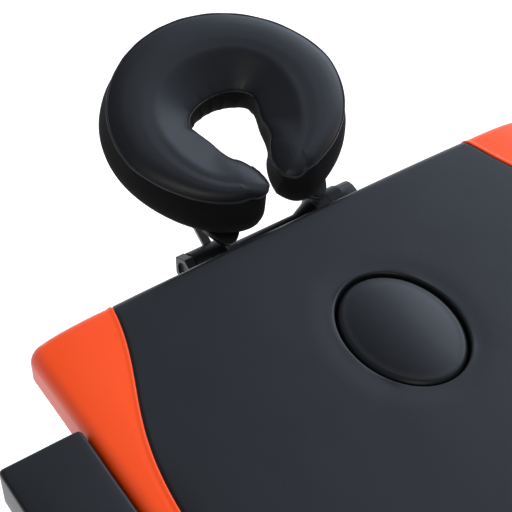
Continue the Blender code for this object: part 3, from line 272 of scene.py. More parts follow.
# Birch plywood, rotary cut and sanded: pale, with long soft grain and a dry surface
plywood, tree = new_finish("birch_plywood")
grain_width, flame_width, grain_stretch = 0.004, 0.09, (1, 0.06, 1)
stretched = add(tree, "Mapping", {"Vector": object_place(tree), "Scale": grain_stretch}).outputs[0]
grain = speckle(tree, grain_width, 4, stretched)
flame = speckle(tree, flame_width, 2, stretched, Distortion=1.2)
tone = span(tree, calc(tree, "MULTIPLY", grain, flame), 0.0, 1.0, 0.12, 0.42)
close_finish(tree, Base_Color=blend(tree, tone, "#b58a58", "#dcbd8d"), Roughness=0.62,
             Normal=relief(tree, grain, 0.25, 0.0004))
for half in ("foot", "head"):
    eased_copy(f"{half}_deck", f"{half}_deck_board", plywood, "deck_board", ease=0.0006)


# Frames: rectangular aluminium tube, sawn, drilled and screwed together at the corners.
# The side rails run through, the cross rails stand between them; black caps close the open ends.
# Anodised aluminium, drawn and satin etched: a pale grey metal with fine lines along the tube
line_width, line_length, satin, satin_spread = 0.0012, 0.12, 0.34, 0.07


def brushed(name, along):
    """Anodised aluminium whose lines run along an axis."""
    finish, tree = new_finish(name)
    scale = [1 / line_width] * 3
    scale[along] = 1 / line_length
    place = add(tree, "Mapping", {"Vector": object_place(tree), "Scale": scale}).outputs[0]
    lines = speckle(tree, 1, 3, place)
    close_finish(tree, Base_Color=linear("#b9bcbf"), Metallic=1.0,
                 Roughness=span(tree, lines, satin - satin_spread, satin + satin_spread),
                 Normal=relief(tree, lines, 0.10, 0.0002))
    return finish


anodised = [brushed(f"anodised_aluminium_{name}", axis)
            for axis, name in enumerate(("across", "lengthwise", "upright"))]
for half in ("foot", "head"):
    for place, axis in (("left", 1), ("right", 1), ("fold", 0), ("end", 0)):
        eased_copy(f"{half}_rail_{place}", f"{half}_{place}_rail_tube", anodised[axis],
                   "frame_aluminium")

# Moulded nylon: near black, with a fine spark-eroded grain that breaks up its gloss
nylon, tree = new_finish("moulded_black_nylon")
grit_size = 0.0011
grit = speckle(tree, grit_size, 2)
close_finish(tree, Base_Color=linear("#0f0f10"), Roughness=span(tree, grit, 0.36, 0.50),
             Specular_IOR_Level=0.35, Normal=relief(tree, grit, 0.16, 0.0003))


def around(steps):
    """Angles of even steps round a circle."""
    return [2 * pi * step / steps for step in range(steps)]


def ring_faces(rings, count, first=0):
    """Quads between closed rings that have the same count of points."""
    starts = [first + ring * count for ring in range(rings)]
    return [(a + step, a + (step + 1) % count, b + (step + 1) % count, b + step)
            for a, b in zip(starts, starts[1:]) for step in range(count)]


def closed_rings(rings, count, first=0):
    """The same quads, with a face over the first and the last ring."""
    last = first + (rings - 1) * count
    ends = [tuple(range(start, start + count)) for start in (first, last)]
    return ring_faces(rings, count, first) + ends


cap_seat, cap_plate, cap_dome, cap_round, least_round = 0.0001, 0.0022, 0.0008, 0.0030, 0.0004
cap_chamfer, cap_flat, corner_steps = 0.0012, 0.006, 5
cap_rings = ((0, cap_seat), (0, cap_plate - cap_dome), (cap_chamfer, cap_plate),
             (cap_flat, cap_plate + cap_dome))
for half, outward in (("foot", -1), ("head", 1)):
    for side in ("left", "right"):
        low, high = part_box(f"{half}_rail_{side}")
        end = (low if outward < 0 else high).y
        middle, reach = (low + high) / 2, (high - low) / 2
        points = []
        for inset, stand in cap_rings:
            soft = max(cap_round - inset, least_round)
            for across, up in ((1, 1), (-1, 1), (-1, -1), (1, -1)):
                for step in range(corner_steps):
                    bend = atan2(up, across) + pi / 2 * (step / (corner_steps - 1) - 0.5)
                    x = across * (reach.x - inset - soft) + soft * cos(bend)
                    z = up * (reach.z - inset - soft) + soft * sin(bend)
                    points.append((middle.x + x, end + outward * stand, middle.z + z))
        faces = closed_rings(len(cap_rings), 4 * corner_steps)
        cap = new_piece(f"{half}_rail_cap_{side}", points, faces, nylon, sharp=40)
        ride_as(cap, f"{half}_section", "black_plastic")


# Piano hinge: two rolled leaves of zinc plated steel with interleaved knuckles on one pin.
# It is screwed under the two fold rails, so that the halves fold under each other.
# Zinc plate on pressed steel: a cool, slightly mottled metal with a soft gloss
zinc, tree = new_finish("zinc_plated_steel")
mottle_size = 0.006
mottle = speckle(tree, mottle_size, 3)
close_finish(tree, Base_Color=blend(tree, mottle, "#8f9398", "#b3b5b4"), Metallic=1.0,
             Roughness=span(tree, mottle, 0.24, 0.40))
# half section of a screw head in parts of its radius and height, with the socket last
head_section = ((1, 0), (1, 0.25), (0.92, 0.55), (0.76, 0.85), (0.60, 1), (0.45, 1), (0.45, 0.45))
socket_ring, head_sides, sixth = 5, 24, pi / 6


def screw_heads(name, spots, way, radius, height, body):
    """Button head screws with a hexagon socket, on given spots and standing out along a way."""
    turn = Vector((0, 0, 1)).rotation_difference(Vector(way)).to_matrix()
    points, faces = [], []
    for spot in spots:
        faces += closed_rings(len(head_section), head_sides, len(points))
        for ring, (reach, level) in enumerate(head_section):
            for angle in around(head_sides):
                flats = cos(sixth) / cos((angle + sixth) % (2 * sixth) - sixth)
                out = reach * radius * (flats if ring >= socket_ring else 1)
                points.append(Vector(spot) + turn @ Vector(
                    (out * cos(angle), out * sin(angle), level * height)))
    return ride_as(new_piece(name, points, faces, zinc, sharp=35), body, "steel")


knuckle_radius, leaf_thickness, leaf_gap = 0.0036, 0.0015, 0.0001
screw_count, screw_pitch, screw_from_pin = 8, 0.06, 0.0125
screw_size = (0.0034, 0.0013)
for half, outward in (("foot", -1), ("head", 1)):
    eased_copy(f"hinge_leaf_{half}", f"{half}_hinge_leaf", zinc, "steel", ease=0.0003)
    low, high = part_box(f"hinge_leaf_{half}")
    pin_line = (high if outward < 0 else low).y + knuckle_radius * outward
    spots = [(screw_pitch * (step - (screw_count - 1) / 2), pin_line + outward * screw_from_pin,
              high.z - leaf_thickness - leaf_gap) for step in range(screw_count)]
    screw_heads(f"{half}_hinge_screws", spots, (0, 0, -1), *screw_size, f"{half}_section")


# Legs: round anodised tubes on steel studs in the side rails, with a tube across each pair.
# A smaller tube slides in each one, held by a spring knob, and stands on a moulded rubber foot.
# Natural rubber, compression moulded: a dull black that greys where it scuffs
rubber, tree = new_finish("moulded_rubber")
scuff_size = 0.009
scuff = speckle(tree, scuff_size, 4)
close_finish(tree, Base_Color=blend(tree, scuff, "#101010", "#232323"), Roughness=0.85)
hole_radius, hole_depth, hole_pitch, hole_lowest, hole_count = 0.0034, 0.0030, 0.020, 0.063, 17
drill_start, drill_sides = -0.002, 20


def drill_row(tube, node, outward):
    """A row of holes along an inner tube, which the spring knob's pin drops into."""
    low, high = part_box(node)
    middle, face = (low.x + high.x) / 2, low.y if outward < 0 else high.y
    points, faces = [], []
    for hole in range(hole_count):
        faces += closed_rings(2, drill_sides, len(points))
        for depth in (drill_start, hole_depth):
            for angle in around(drill_sides):
                points.append((middle + hole_radius * cos(angle), face - outward * depth,
                               hole_lowest + hole * hole_pitch + hole_radius * sin(angle)))
    drill = new_piece("leg_drill", points, faces, anodised[2])
    cut = tube.modifiers.new("drilled", "BOOLEAN")
    cut.operation, cut.solver, cut.object = "DIFFERENCE", "EXACT", drill
    tube.modifiers.move(1, 0)
    graph = bpy.context.evaluated_depsgraph_get()
    drilled = bpy.data.meshes.new_from_object(tube.evaluated_get(graph))
    tube.modifiers.clear()
    tube.data = drilled
    bpy.data.objects.remove(drill)


for half, outward in (("foot", -1), ("head", 1)):
    eased_copy(f"{half}_leg_cross_tube", f"{half}_cross_tube", anodised[0], "leg_aluminium")
    for side in ("left", "right"):
        for kind, name, finish, slot, ease in (
                ("leg", "leg_tube", anodised[2], "leg_aluminium", 0.0008),
                ("leg_stud", "pivot_stud", zinc, "steel", 0.0005),
                ("lower_leg", "inner_tube", anodised[2], "leg_aluminium", 0.0004),
                ("rubber_foot", "foot_boot", rubber, "rubber", 0.002),
                ("lock_knob", "spring_knob", nylon, "black_plastic", 0.001)):
            node = f"{half}_{kind}_{side}"
            piece = eased_copy(node, f"{half}_{name}_{side}", finish, slot, ease)
            if kind == "lower_leg":
                drill_row(piece, node, outward)


# Knee braces: pairs of flat steel bars, riveted at the knee, that hold each pair of legs upright.
# A pressed bracket under the deck carries the upper bar, the cross tube carries the lower one.
for half in ("foot", "head"):
    for node in ("brace_upper", "brace_lower", "brace_bracket"):
        eased_copy(f"{half}_{node}", f"{half}_{node}_bar", zinc, "steel", ease=0.0006)


# Pads: 45 mm of foam in glued and stapled vinyl, black with an orange panel along each side.
# The panels widen at the table's ends and are sewn to the black along a curved, turned seam.
# PU coated vinyl, embossed, on a knitted back: satin, with a fine pebble and the foam's slow waves
def vinyl(name, dark, light, roughness):
    """Vinyl between two close colours, with patches that are a little rougher."""
    finish, tree = new_finish(name)
    place = object_place(tree)
    # the real pebble is 0.7 mm; it is drawn at 2 mm, the least that shows from the camera
    pebble_size, wave_size, patch_size = 0.002, 0.055, 0.16
    pebble = add(tree, "TexVoronoi", {"Vector": place, "Scale": 1 / pebble_size},
                 feature="SMOOTH_F1").outputs[0]
    waves = relief(tree, speckle(tree, wave_size, 1.5, place), 0.10, 0.004)
    patch = speckle(tree, patch_size, 3, place)
    close_finish(tree, Base_Color=blend(tree, patch, dark, light),
                 Roughness=span(tree, patch, roughness - 0.03, roughness + 0.04, 0.3, 0.7),
                 Normal=relief(tree, pebble, 0.07, 0.0006, Normal=waves))
    return finish


black_vinyl = vinyl("black_pu_vinyl", "#121316", "#181a1d", 0.40)
orange_vinyl = vinyl("orange_pu_vinyl", "#f94c10", "#fc5418", 0.38)


def smooth(value):
    """A soft step from 0 to 1."""
    value = min(max(value, 0), 1)
    return value * value * (3 - 2 * value)


def wrapped_skin(low, high, edge, corner, hem, lap, columns_at, rows, rise):
    """A cover's points and outward directions, on rows and columns that wrap over a pad's edges.

    Flat columns are given for each row as distances from the middle. Edge, corner and hem are the
    radii of the top edge, of the outline and of the bottom edge; rise gives the top's crown.
    """
    middle, half = (low + high) / 2, (high - low) / 2
    core = (half.x - corner, half.y - corner)
    flat_end = corner - edge
    wall_start = flat_end + edge * pi / 2
    wall_end = wall_start + 2 * half.z - edge - hem
    hem_end = wall_end + hem * pi / 2
    stations = []
    for start, end, steps in (
            (flat_end, wall_start, 7), (wall_start, wall_end, 5), (wall_end, hem_end, 3)):
        stations += [start + (end - start) * step / steps for step in range(1, steps + 1)]
    stations.append(hem_end + lap)

    def place(across, along):
        past = (max(abs(across) - core[0], 0), max(abs(along) - core[1], 0))
        reach = max(past)
        out, turn, share = reach, 0.0, None
        if reach > hem_end:
            out, turn = corner - hem - (reach - hem_end), pi
        elif reach > wall_end:
            turn = pi / 2 + (reach - wall_end) / hem
            out = corner - hem * (1 - sin(turn))
        elif reach > wall_start:
            share, turn, out = (reach - wall_start) / (wall_end - wall_start), pi / 2, corner
        elif reach > flat_end:
            turn = (reach - flat_end) / edge
            out = flat_end + edge * sin(turn)
        way = Vector(past).normalized()
        x = copysign(core[0] + way.x * out, across) if past[0] else across
        y = copysign(core[1] + way.y * out, along) if past[1] else along
        top = high.z + rise(x / half.x, y / half.y)
        if share is not None:
            z = (top - edge) * (1 - share) + (low.z + hem) * share
        elif turn <= pi / 2:
            z = top - edge * (1 - cos(turn))
        else:
            z = low.z + hem * (1 + cos(turn))
        normal = Vector((copysign(way.x, across) * sin(turn), copysign(way.y, along) * sin(turn),
                         cos(turn)))
        return Vector((middle.x + x, middle.y + y, z)), normal

    ends = [core[1] + station for station in stations]
    sides = [core[0] + station for station in stations]
    points, normals = [], []
    for along in [-end for end in ends[::-1]] + list(rows) + ends:
        level = min(max(along, -half.y), half.y)
        across = [-side for side in sides[::-1]] + columns_at(level) + sides
        placed = [place(x, along) for x in across]
        points.append([point for point, _ in placed])
        normals.append([normal for _, normal in placed])
    return points, normals, len(stations)


def grid_faces(rows, columns, open_rows=(), open_columns=()):
    """Quads over a grid of points, but for a block of rows and columns."""
    return [(first, first + 1, first + columns + 1, first + columns) for row in range(rows - 1)
            for first in range(row * columns, (row + 1) * columns - 1)
            if row not in open_rows or first % columns not in open_columns]


def even_steps(reach, steps):
    """Even steps from one side of the middle to the other."""
    return [-reach + 2 * reach * step / steps for step in range(steps + 1)]


def block_border(rows, columns, width):
    """Numbers of the points round a block of a grid, in order."""
    spots = ([(rows[0], column) for column in columns] + [(row, columns[-1]) for row in rows[1:]]
             + [(rows[-1], column) for column in columns[-2::-1]]
             + [(row, columns[0]) for row in rows[-2:0:-1]])
    return [row * width + column for row, column in spots]


vinyl_sharp = 60


def close_underside(piece):
    """Fill what is open under a pad, round its hole if it has one."""
    shape = bmesh.new()
    shape.from_mesh(piece.data)
    open_edges = [edge for edge in shape.edges if edge.is_boundary]
    bmesh.ops.triangle_fill(shape, use_beauty=True, use_dissolve=False, edges=open_edges)
    bmesh.ops.recalc_face_normals(shape, faces=shape.faces[:])
    shape.to_mesh(piece.data)
    shape.free()
    piece.data.set_sharp_from_angle(angle=radians(vinyl_sharp))


pad_edge, pad_corner, pad_hem, pad_lap = 0.013, 0.016, 0.004, 0.015
pad_depth, pad_crown = 0.045, 0.0091
side_fall, side_reach, end_fall, end_reach = 0.0065, 0.050, 0.0034, 0.034
seam_narrow, seam_flare, seam_turn, seam_softness = 0.0235, 0.084, 0.113, 0.051
seam_detail = (-0.0065, -0.005, -0.0036, -0.0022, -0.001, 0, 0.001, 0.0022, 0.0036, 0.006)
panel_steps, middle_steps, row_step = 6, 30, 0.009
panel_proud, panel_sunk = 0.0004, 0.0010
# ridges and grooves along the seam: height, distance inwards from the seam and width
seam_groove = (-0.0012, 0.0, 0.0016)
panel_ridges = ((0.0007, -0.0016, 0.0016), (-0.0016, 0.0006, 0.0011), (-0.0005, -0.0058, 0.0012))
wave_height, waves_per_metre = 0.0004, 14
hole_half = Vector((0.0620, 0.0798))
hole_rim, hole_dip, dip_reach, hole_margin = 0.0030, 0.0012, 0.016, 0.036
funnel_steps, funnel_power, rim_steps = 8, 0.8, 8


def seam_inset(from_end):
    """Distance of the seam from the table's side, at a distance from the table's end."""
    return seam_narrow + seam_flare / (1 + exp((from_end - seam_turn) / seam_softness))


def ridge(offset, height, place, width):
    """Height of a soft ridge, or of a groove, at a distance from the seam."""
    return height * exp(-((offset - place) / width) ** 2)


def make_pad(name, outer):
    """The black cover of a half, with the face hole in the head one, and its two orange panels."""
    low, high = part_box(f"{name}_pad")
    high = Vector((high.x, high.y, low.z + pad_depth))
    half, middle = (high - low) / 2, (low + high) / 2

    def columns_at(along):
        inset = seam_inset(max(half.y - outer * along, 0))
        first, last = pad_edge, inset + seam_detail[0]
        panel = [first + (last - first) * step / panel_steps for step in range(panel_steps)]
        near = [inset + detail for detail in seam_detail]
        field = [near[-1] + (half.x - near[-1]) * step / middle_steps
                 for step in range(1, middle_steps)]
        left = [-(half.x - inward) for inward in panel + near + field]
        return left + [0.0] + [-x for x in left[::-1]]

    def rise(u, v):
        # the foam is level across, soft towards its free edges, and lowest at the corners
        from_side, from_end = half.x * (1 - abs(u)), half.y * (1 - outer * v)
        soft = (side_fall * max(1 - from_side / side_reach, 0) ** 2
                + end_fall * max(1 - from_end / end_reach, 0) ** 2)
        return pad_crown * (1 - (u * max(outer * v, 0)) ** 4) - soft

    row_count = round((high.y - low.y) / row_step)
    rows = even_steps(half.y - pad_edge, row_count)
    points, normals, wraps = wrapped_skin(
        low, high, pad_edge, pad_corner, pad_hem, pad_lap, columns_at, rows, rise)
    columns = len(points[0])
    seam = wraps + panel_steps + seam_detail.index(0)

    def seam_offset(point):
        inset = seam_inset(max(half.y - outer * (point.y - middle.y), 0))
        return half.x - abs(point.x - middle.x) - inset

    skin = []
    for row, ways in zip(points, normals):
        for point, way in zip(row, ways):
            wave = wave_height * noise.noise(point * waves_per_metre)
            skin.append(point + way * (wave + ridge(seam_offset(point), *seam_groove)))

    faces, row_ids, column_ids = [], [], []
    if name == "head":
        plug_low, plug_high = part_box("face_hole_plug")
        centre = Vector((0, (plug_low.y + plug_high.y) / 2))
        spread = hole_half + Vector((hole_margin, hole_margin))
        row_ids = [i for i, row in enumerate(points) if abs(row[seam].y - centre.y) < spread.y
                   and row[seam].z > low.z + pad_depth / 2]
        middle_row = points[(row_ids[0] + row_ids[-1]) // 2]
        column_ids = [i for i, point in enumerate(middle_row) if abs(point.x) < spread.x
                      and point.z > low.z + pad_depth / 2]
        loop = block_border(row_ids, column_ids, columns)
        turns = [atan2((skin[i].y - centre.y) / spread.y, (skin[i].x - centre.x) / spread.x)
                 for i in loop]

        def oval(grow, turn):
            return Vector((centre.x + (hole_half.x + grow) * cos(turn),
                           centre.y + (hole_half.y + grow) * sin(turn)))

        def add_ring(spots):
            rings.append(range(len(skin), len(skin) + len(loop)))
            skin.extend(spots)

        rings = [loop]
        for step in range(1, funnel_steps + 1):
            share = (step / funnel_steps) ** funnel_power
            add_ring([Vector((*skin[i].xy.lerp(oval(hole_rim, turn), share), skin[i].z))
                      for i, turn in zip(loop, turns)])
        for step in range(1, rim_steps + 1):
            bend = pi / 2 * step / rim_steps
            spots = []
            for turn in turns:
                flat = oval(hole_rim * (1 - sin(bend)), turn)
                top = high.z + rise((flat.x - middle.x) / half.x, (flat.y - middle.y) / half.y)
                spots.append(Vector((*flat, top - hole_rim * (1 - cos(bend)))))
            add_ring(spots)
        wall_top = high.z + pad_crown - hole_rim
        for depth in (0.5, 1):
            add_ring([Vector((*oval(0, turn), wall_top + (low.z - wall_top) * depth))
                      for turn in turns])
        count = len(loop)
        for outside, within in zip(rings, rings[1:]):
            for step in range(count):
                follow = (step + 1) % count
                faces.append((outside[step], outside[follow], within[follow], within[step]))
        for point in skin:
            if point.z > high.z - hole_rim / 2:
                turn = atan2((point.y - centre.y) / hole_half.y, (point.x - centre.x) / hole_half.x)
                rim = (oval(hole_rim, turn) - centre).length
                away = max((point.xy - centre).length - rim, 0)
                point.z -= hole_dip * exp(-(away / dip_reach) ** 2)
    faces += grid_faces(len(points), columns, row_ids[:-1], column_ids[:-1])
    pad = new_piece(f"{name}_pad_cover", skin, faces, black_vinyl, vinyl_sharp)
    close_underside(pad)
    body = f"{name}_section"
    ride_as(pad, body, "vinyl_black", f"{name}_pad")

    for side in ("left", "right"):
        picked = range(seam + 1) if side == "left" else range(columns - 1, columns - seam - 2, -1)
        top, under = [], []
        for row, ways in zip(points, normals):
            for column in picked:
                point, way = row[column], ways[column]
                offset = min(seam_offset(point), 0)
                lift = panel_proud + sum(ridge(offset, *shape) for shape in panel_ridges)
                wave = wave_height * noise.noise(point * waves_per_metre)
                top.append(point + way * (lift + wave))
                under.append(point - way * panel_sunk)
        width, count = seam + 1, len(top)
        sheet = grid_faces(len(points), width)
        back = [tuple(i + count for i in face[::-1]) for face in sheet]
        border = block_border(range(len(points)), range(width), width)
        rim = [(a, b, b + count, a + count) for a, b in zip(border, border[1:] + border[:1])]
        panel = new_piece(f"{name}_orange_panel_{side}", top + under,
                          sheet + back + rim, orange_vinyl, vinyl_sharp)
        ride_as(panel, body, "vinyl_orange")


make_pad("foot", -1)
make_pad("head", 1)


# Face plug: an oval foam cushion in black vinyl that fills the face hole and lifts out.
# Its crowned top rolls over at the rim into a drawn-in side; the gap round it is a dark groove.
plug_low, plug_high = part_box("face_hole_plug")
plug_shy = Vector((0.0028, 0.0030, 0))
plug_middle, plug_half = (plug_low + plug_high) / 2, (plug_high - plug_low) / 2 - plug_shy
plug_turns, plug_roll, plug_shoulder, roll_steps, crown_steps = 96, 0.0075, 0.0085, 8, 12
# the side from the foot up: distance in from the outline, and height over the foot
plug_side = ((0.006, 0), (0.0016, 0.0016), (0.0, 0.006), (0.0012, 0.024), (0.0004, 0.036))
rings = [(inset, plug_low.z + height) for inset, height in plug_side]
roll_base = plug_high.z - plug_shoulder - plug_roll
for step in range(roll_steps + 1):
    bend = pi / 2 * step / roll_steps
    rings.append((plug_roll * (1 - cos(bend)), roll_base + plug_roll * sin(bend)))
reach = plug_half.x - plug_roll
rings += [(plug_roll + reach * step / crown_steps,
           roll_base + plug_roll + plug_shoulder * (1 - (1 - step / crown_steps) ** 2))
          for step in range(1, crown_steps)]
points = []
for inset, height in rings:
    across, rounder = plug_half.x - inset, smooth(inset / plug_half.x)
    along = (plug_half.y - inset) * (1 - rounder) + across / plug_half.x * plug_half.y * rounder
    for turn in around(plug_turns):
        points.append((plug_middle.x + across * cos(turn),
                       plug_middle.y + along * sin(turn), height))
last = (len(rings) - 1) * plug_turns
points.append((plug_middle.x, plug_middle.y, plug_high.z))
faces = ring_faces(len(rings), plug_turns)
faces += [(last + step, last + (step + 1) % plug_turns, len(points) - 1)
          for step in range(plug_turns)]
faces.append(tuple(range(plug_turns)))
plug = new_piece("face_plug_cushion", points, faces, black_vinyl, vinyl_sharp)
ride_as(plug, "face_hole_plug", "vinyl_black", "face_hole_plug")


# Armrests: plain foam boards in black vinyl with tight square edges, on a batten under each.
# Two steel rods of the batten plug into holes in the side rail.
arm_edge, arm_corner, arm_hem, arm_lap, arm_crown = 0.004, 0.0055, 0.003, 0.005, 0.0025
arm_proud, arm_short, arm_waves_per_metre, arm_columns, arm_rows = 0.004, 0.006, 18, 12, 60
for side in ("left", "right"):
    low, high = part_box(f"armrest_pad_{side}")
    high = Vector((high.x, high.y - arm_short, low.z + pad_depth + arm_proud))
    half = (high - low) / 2
    across = even_steps(half.x - arm_edge, arm_columns)
    along = even_steps(half.y - arm_edge, arm_rows)
    points, normals, _ = wrapped_skin(
        low, high, arm_edge, arm_corner, arm_hem, arm_lap, lambda level: across, along,
        lambda u, v: arm_crown * (1 - u ** 2) * (1 - v ** 4))
    skin = [point + way * wave_height * noise.noise(point * arm_waves_per_metre)
            for row, ways in zip(points, normals) for point, way in zip(row, ways)]
    rest = new_piece(f"armrest_cushion_{side}", skin, grid_faces(len(points), len(points[0])),
                     black_vinyl, vinyl_sharp)
    close_underside(rest)
    ride_as(rest, f"armrest_{side}", "vinyl_black", f"armrest_pad_{side}")
    eased_copy(f"armrest_bracket_{side}", f"armrest_batten_{side}", zinc, "steel")


# Headrest fork: two steel rods plug into the end rail and end in moulded nylon knuckles.
# A yoke turns between the knuckles, a knob clamps it, and two grey steel arms carry the cradle.
# Enamelled steel bar: mid grey, smooth, with a soft sheen
enamel, tree = new_finish("grey_enamelled_steel")
orange_peel = 0.003
close_finish(tree, Base_Color=linear("#6f7173"), Roughness=0.38,
             Normal=relief(tree, speckle(tree, orange_peel, 1), 0.08, 0.0003))
axis_y, axis_z, drum_swell, grip_swell = 0.8416, 0.5784, 0.0042, 0.0062
drum_inside, yoke_inside, grip_core, drum_outside = 0.0155, 0.006, 0.0085, 0.0185
grip_inside, grip_share = -0.1003, 0.55


def swollen(piece, least, depth):
    """Move a part of a knuckle outwards, from a distance to its axis on, as moulded drums bulge."""
    for vertex in piece.data.vertices:
        spoke = Vector((0, vertex.co.y - axis_y, vertex.co.z - axis_z))
        if least < spoke.length < drum_outside:
            vertex.co += spoke.normalized() * depth


for side in ("left", "right"):
    knuckle = eased_copy(
        f"headrest_post_{side}", f"headrest_knuckle_{side}", nylon, "black_plastic", ease=0.003)
    swollen(knuckle, drum_inside, drum_swell)
    eased_copy(f"headrest_arm_{side}", f"headrest_arm_bar_{side}", enamel, "arm_steel", ease=0.0006)
yoke = eased_copy("headrest_yoke", "headrest_yoke_bar", nylon, "black_plastic", ease=0.002)
swollen(yoke, yoke_inside, drum_swell)
grip = eased_copy("headrest_clamp_knob", "headrest_clamp_grip", nylon, "black_plastic", ease=0.002)
swollen(grip, grip_core, grip_swell)
for vertex in grip.data.vertices:
    if vertex.co.x < grip_inside:
        vertex.co.x = grip_inside + (vertex.co.x - grip_inside) * grip_share
eased_copy("headrest_cam_lever", "headrest_cam_handle", nylon, "black_plastic", ease=0.0012)


# Cradle board: a horseshoe of black moulded plastic under the headrest cushion, on two ears.
# Its two ends stand out past the cushion, and the cushion holds to it with touch tape.
cradle_centre = Vector((0, 0.919978, 0.712))
cradle_turn = Matrix.Rotation(radians(25), 3, "X")
arc_across, arc_far, arc_near, arc_end = 0.090, 0.076, 0.092, radians(151)
width_far, width_side, width_end = 0.053, 0.047, 0.0324
arc_steps, lobe_steps = 120, 28


def arc_section(turn):
    """Middle, outward way and half width of the horseshoe at an angle from its far end."""
    far = abs(turn) < pi / 2
    along = arc_far if far else arc_near
    spine = Vector((arc_across * sin(turn), along * cos(turn)))
    out = Vector((sin(turn) / arc_across, cos(turn) / along)).normalized()
    narrow = width_far if far else width_end
    return spine, out, narrow + (width_side - narrow) * sin(turn) ** 2


def horseshoe(share, end, stretch, blunt, inner_blunt):
    """A ring round the horseshoe's middle line: (place, outward way, side, turn) of each point.

    Share is the ring's part of the full width, stretch moves the tips out and towards the table.
    Side is 1 on the outside, -1 in the face gap.
    """
    outer, inner, lobes = [], [], []
    for step in range(arc_steps + 1):
        turn = end * (2 * step / arc_steps - 1)
        spine, out, width = arc_section(turn)
        outer.append((spine + out * width * share, out, 1.0, turn))
        inner.append((spine - out * width * share, -out, -1.0, turn))
    for sign in (1, -1):
        spine, out, width = arc_section(sign * end)
        ahead = Vector((out.y, -out.x)) * sign
        tip = (ahead * width + Vector((sign * stretch[0], -stretch[1]))) * share
        lobe = []
        for step in range(1, lobe_steps):
            bend = pi * step / lobe_steps
            c, s = cos(bend), sin(bend)
            power = 2 / (blunt if c > 0 else inner_blunt)
            place = spine + out * width * share * copysign(abs(c) ** power, c) + tip * s ** power
            lobe.append((place, (out * c + ahead * s).normalized(), c, sign * end))
        lobes.append(lobe)
    return outer + lobes[0] + inner[::-1] + lobes[1][::-1]


def in_cradle(flat, level):
    """A point of the tilted cradle in the table's frame."""
    return cradle_centre + cradle_turn @ Vector((flat.x, flat.y, level))


board_inset, tongue_inset, board_top, board_bottom = 0.013, 0.007, -0.0503, -0.060
board_round, round_steps = 0.0022, 4
board_end, tongue, tongue_blunt = radians(137), (0.011, 0.027), 2.3
tongue_from, tongue_blend = radians(112), radians(26)
board_askew = Matrix.Rotation(radians(2.5), 2)
bends = [pi / 2 * step / round_steps for step in range(round_steps + 1)]
levels = [(board_round * (1 - sin(bend)), board_bottom + board_round * (1 - cos(bend)))
          for bend in bends]
levels += [(inset, board_bottom + board_top - level) for inset, level in levels[::-1]]
outline = horseshoe(1.0, board_end, tongue, tongue_blunt, tongue_blunt)
points = []
for inset, level in levels:
    for flat, way, _, turn in outline:
        tongued = smooth((abs(turn) - tongue_from) / tongue_blend)
        edge = board_inset + (tongue_inset - board_inset) * tongued + inset
        points.append(in_cradle(board_askew @ (flat - way * edge), level))
board = new_piece("cradle_board", points, closed_rings(len(levels), len(outline)), nylon, sharp=40)
ride_as(board, "headrest_platform", "black_plastic", "headrest_platform")
ear_outside, ear_width, ear_along, ear_level, ear_round = 0.0654, 0.006, 0.020, -0.076, 0.009
ear_flare, ear_sunk, ear_ease, ear_steps = 1.6, 0.002, 0.0012, 16
bends = [pi * step / ear_steps for step in range(ear_steps + 1)]
tab = [(ear_along - ear_flare * ear_round, board_bottom + ear_sunk)]
tab += [(ear_along - ear_round * cos(bend), ear_level - ear_round * sin(bend)) for bend in bends]
tab.append((ear_along + ear_flare * ear_round, board_bottom + ear_sunk))
for side, sign in (("left", -1), ("right", 1)):
    points = [in_cradle(Vector((sign * x, along)), level)
              for x in (ear_outside - ear_width, ear_outside) for along, level in tab]
    ear = new_piece(f"cradle_ear_{side}", points, closed_rings(2, len(tab)), nylon, sharp=40)
    rounded = ear.modifiers.new("eased_edges", "BEVEL")
    rounded.width, rounded.segments, rounded.limit_method = ear_ease, 2, "ANGLE"
    ride_as(ear, "headrest_platform", "black_plastic")


# Headrest cushion: a foam horseshoe with a black vinyl top, sewn along a welt to a band of cloth.
# The top falls from a ridge into the face gap, where the band is drawn in and gathers; the band
# leans out towards its foot, most at the lobes. It sits a little askew, as photographed.
# Loop cloth, knitted and brushed: a soft black that drinks up the light, with a short nap
loop_cloth, tree = new_finish("brushed_loop_cloth")
# the real loops are 0.5 mm; they are drawn at 1.6 mm, the least that shows from the camera
loop_size, fade_size = 0.0016, 0.05
loops = add(tree, "TexVoronoi", {"Vector": object_place(tree), "Scale": 1 / loop_size}).outputs[0]
fade = speckle(tree, fade_size, 3)
close_finish(tree, Base_Color=blend(tree, fade, "#0b0b0c", "#151516"), Roughness=0.9,
             Specular_IOR_Level=0.15, Normal=relief(tree, loops, 0.35, 0.0004))
cushion_depth, lobe_blunt, gap_blunt = 0.050, 2.6, 1.5
askew, shifted = Matrix.Rotation(radians(5), 2), Vector((-0.0035, 0))
side_lean, lobe_lean, far_lean, undercut = 0.0015, 0.017, 0.006, 0.007
# by a point's side, 1 outside and -1 in the gap: start and growth of the lean, gathers, welt's end
lean_from, lean_blend, gather_side, welt_end = -0.2, 0.9, -0.9, -0.8
side_full, gap_full, far_flat = 0.0035, 0.0015, 0.005
# where it is pressed in or stands out: angle from the far end and spread in degrees, and depth
pressed = ((-112, 32, -0.009), (112, 32, 0.008))
gap_swell, lobe_dent = (122, 22, 0.0055), (151, 14, -0.0018)
far_drift, far_reach, drift_power = 0.006, 0.11, 1.5
far_from, far_blend, far_dip = radians(105), radians(75), 0.0016
lobe_from, lobe_blend, lobe_yield = radians(122), radians(28), 0.5
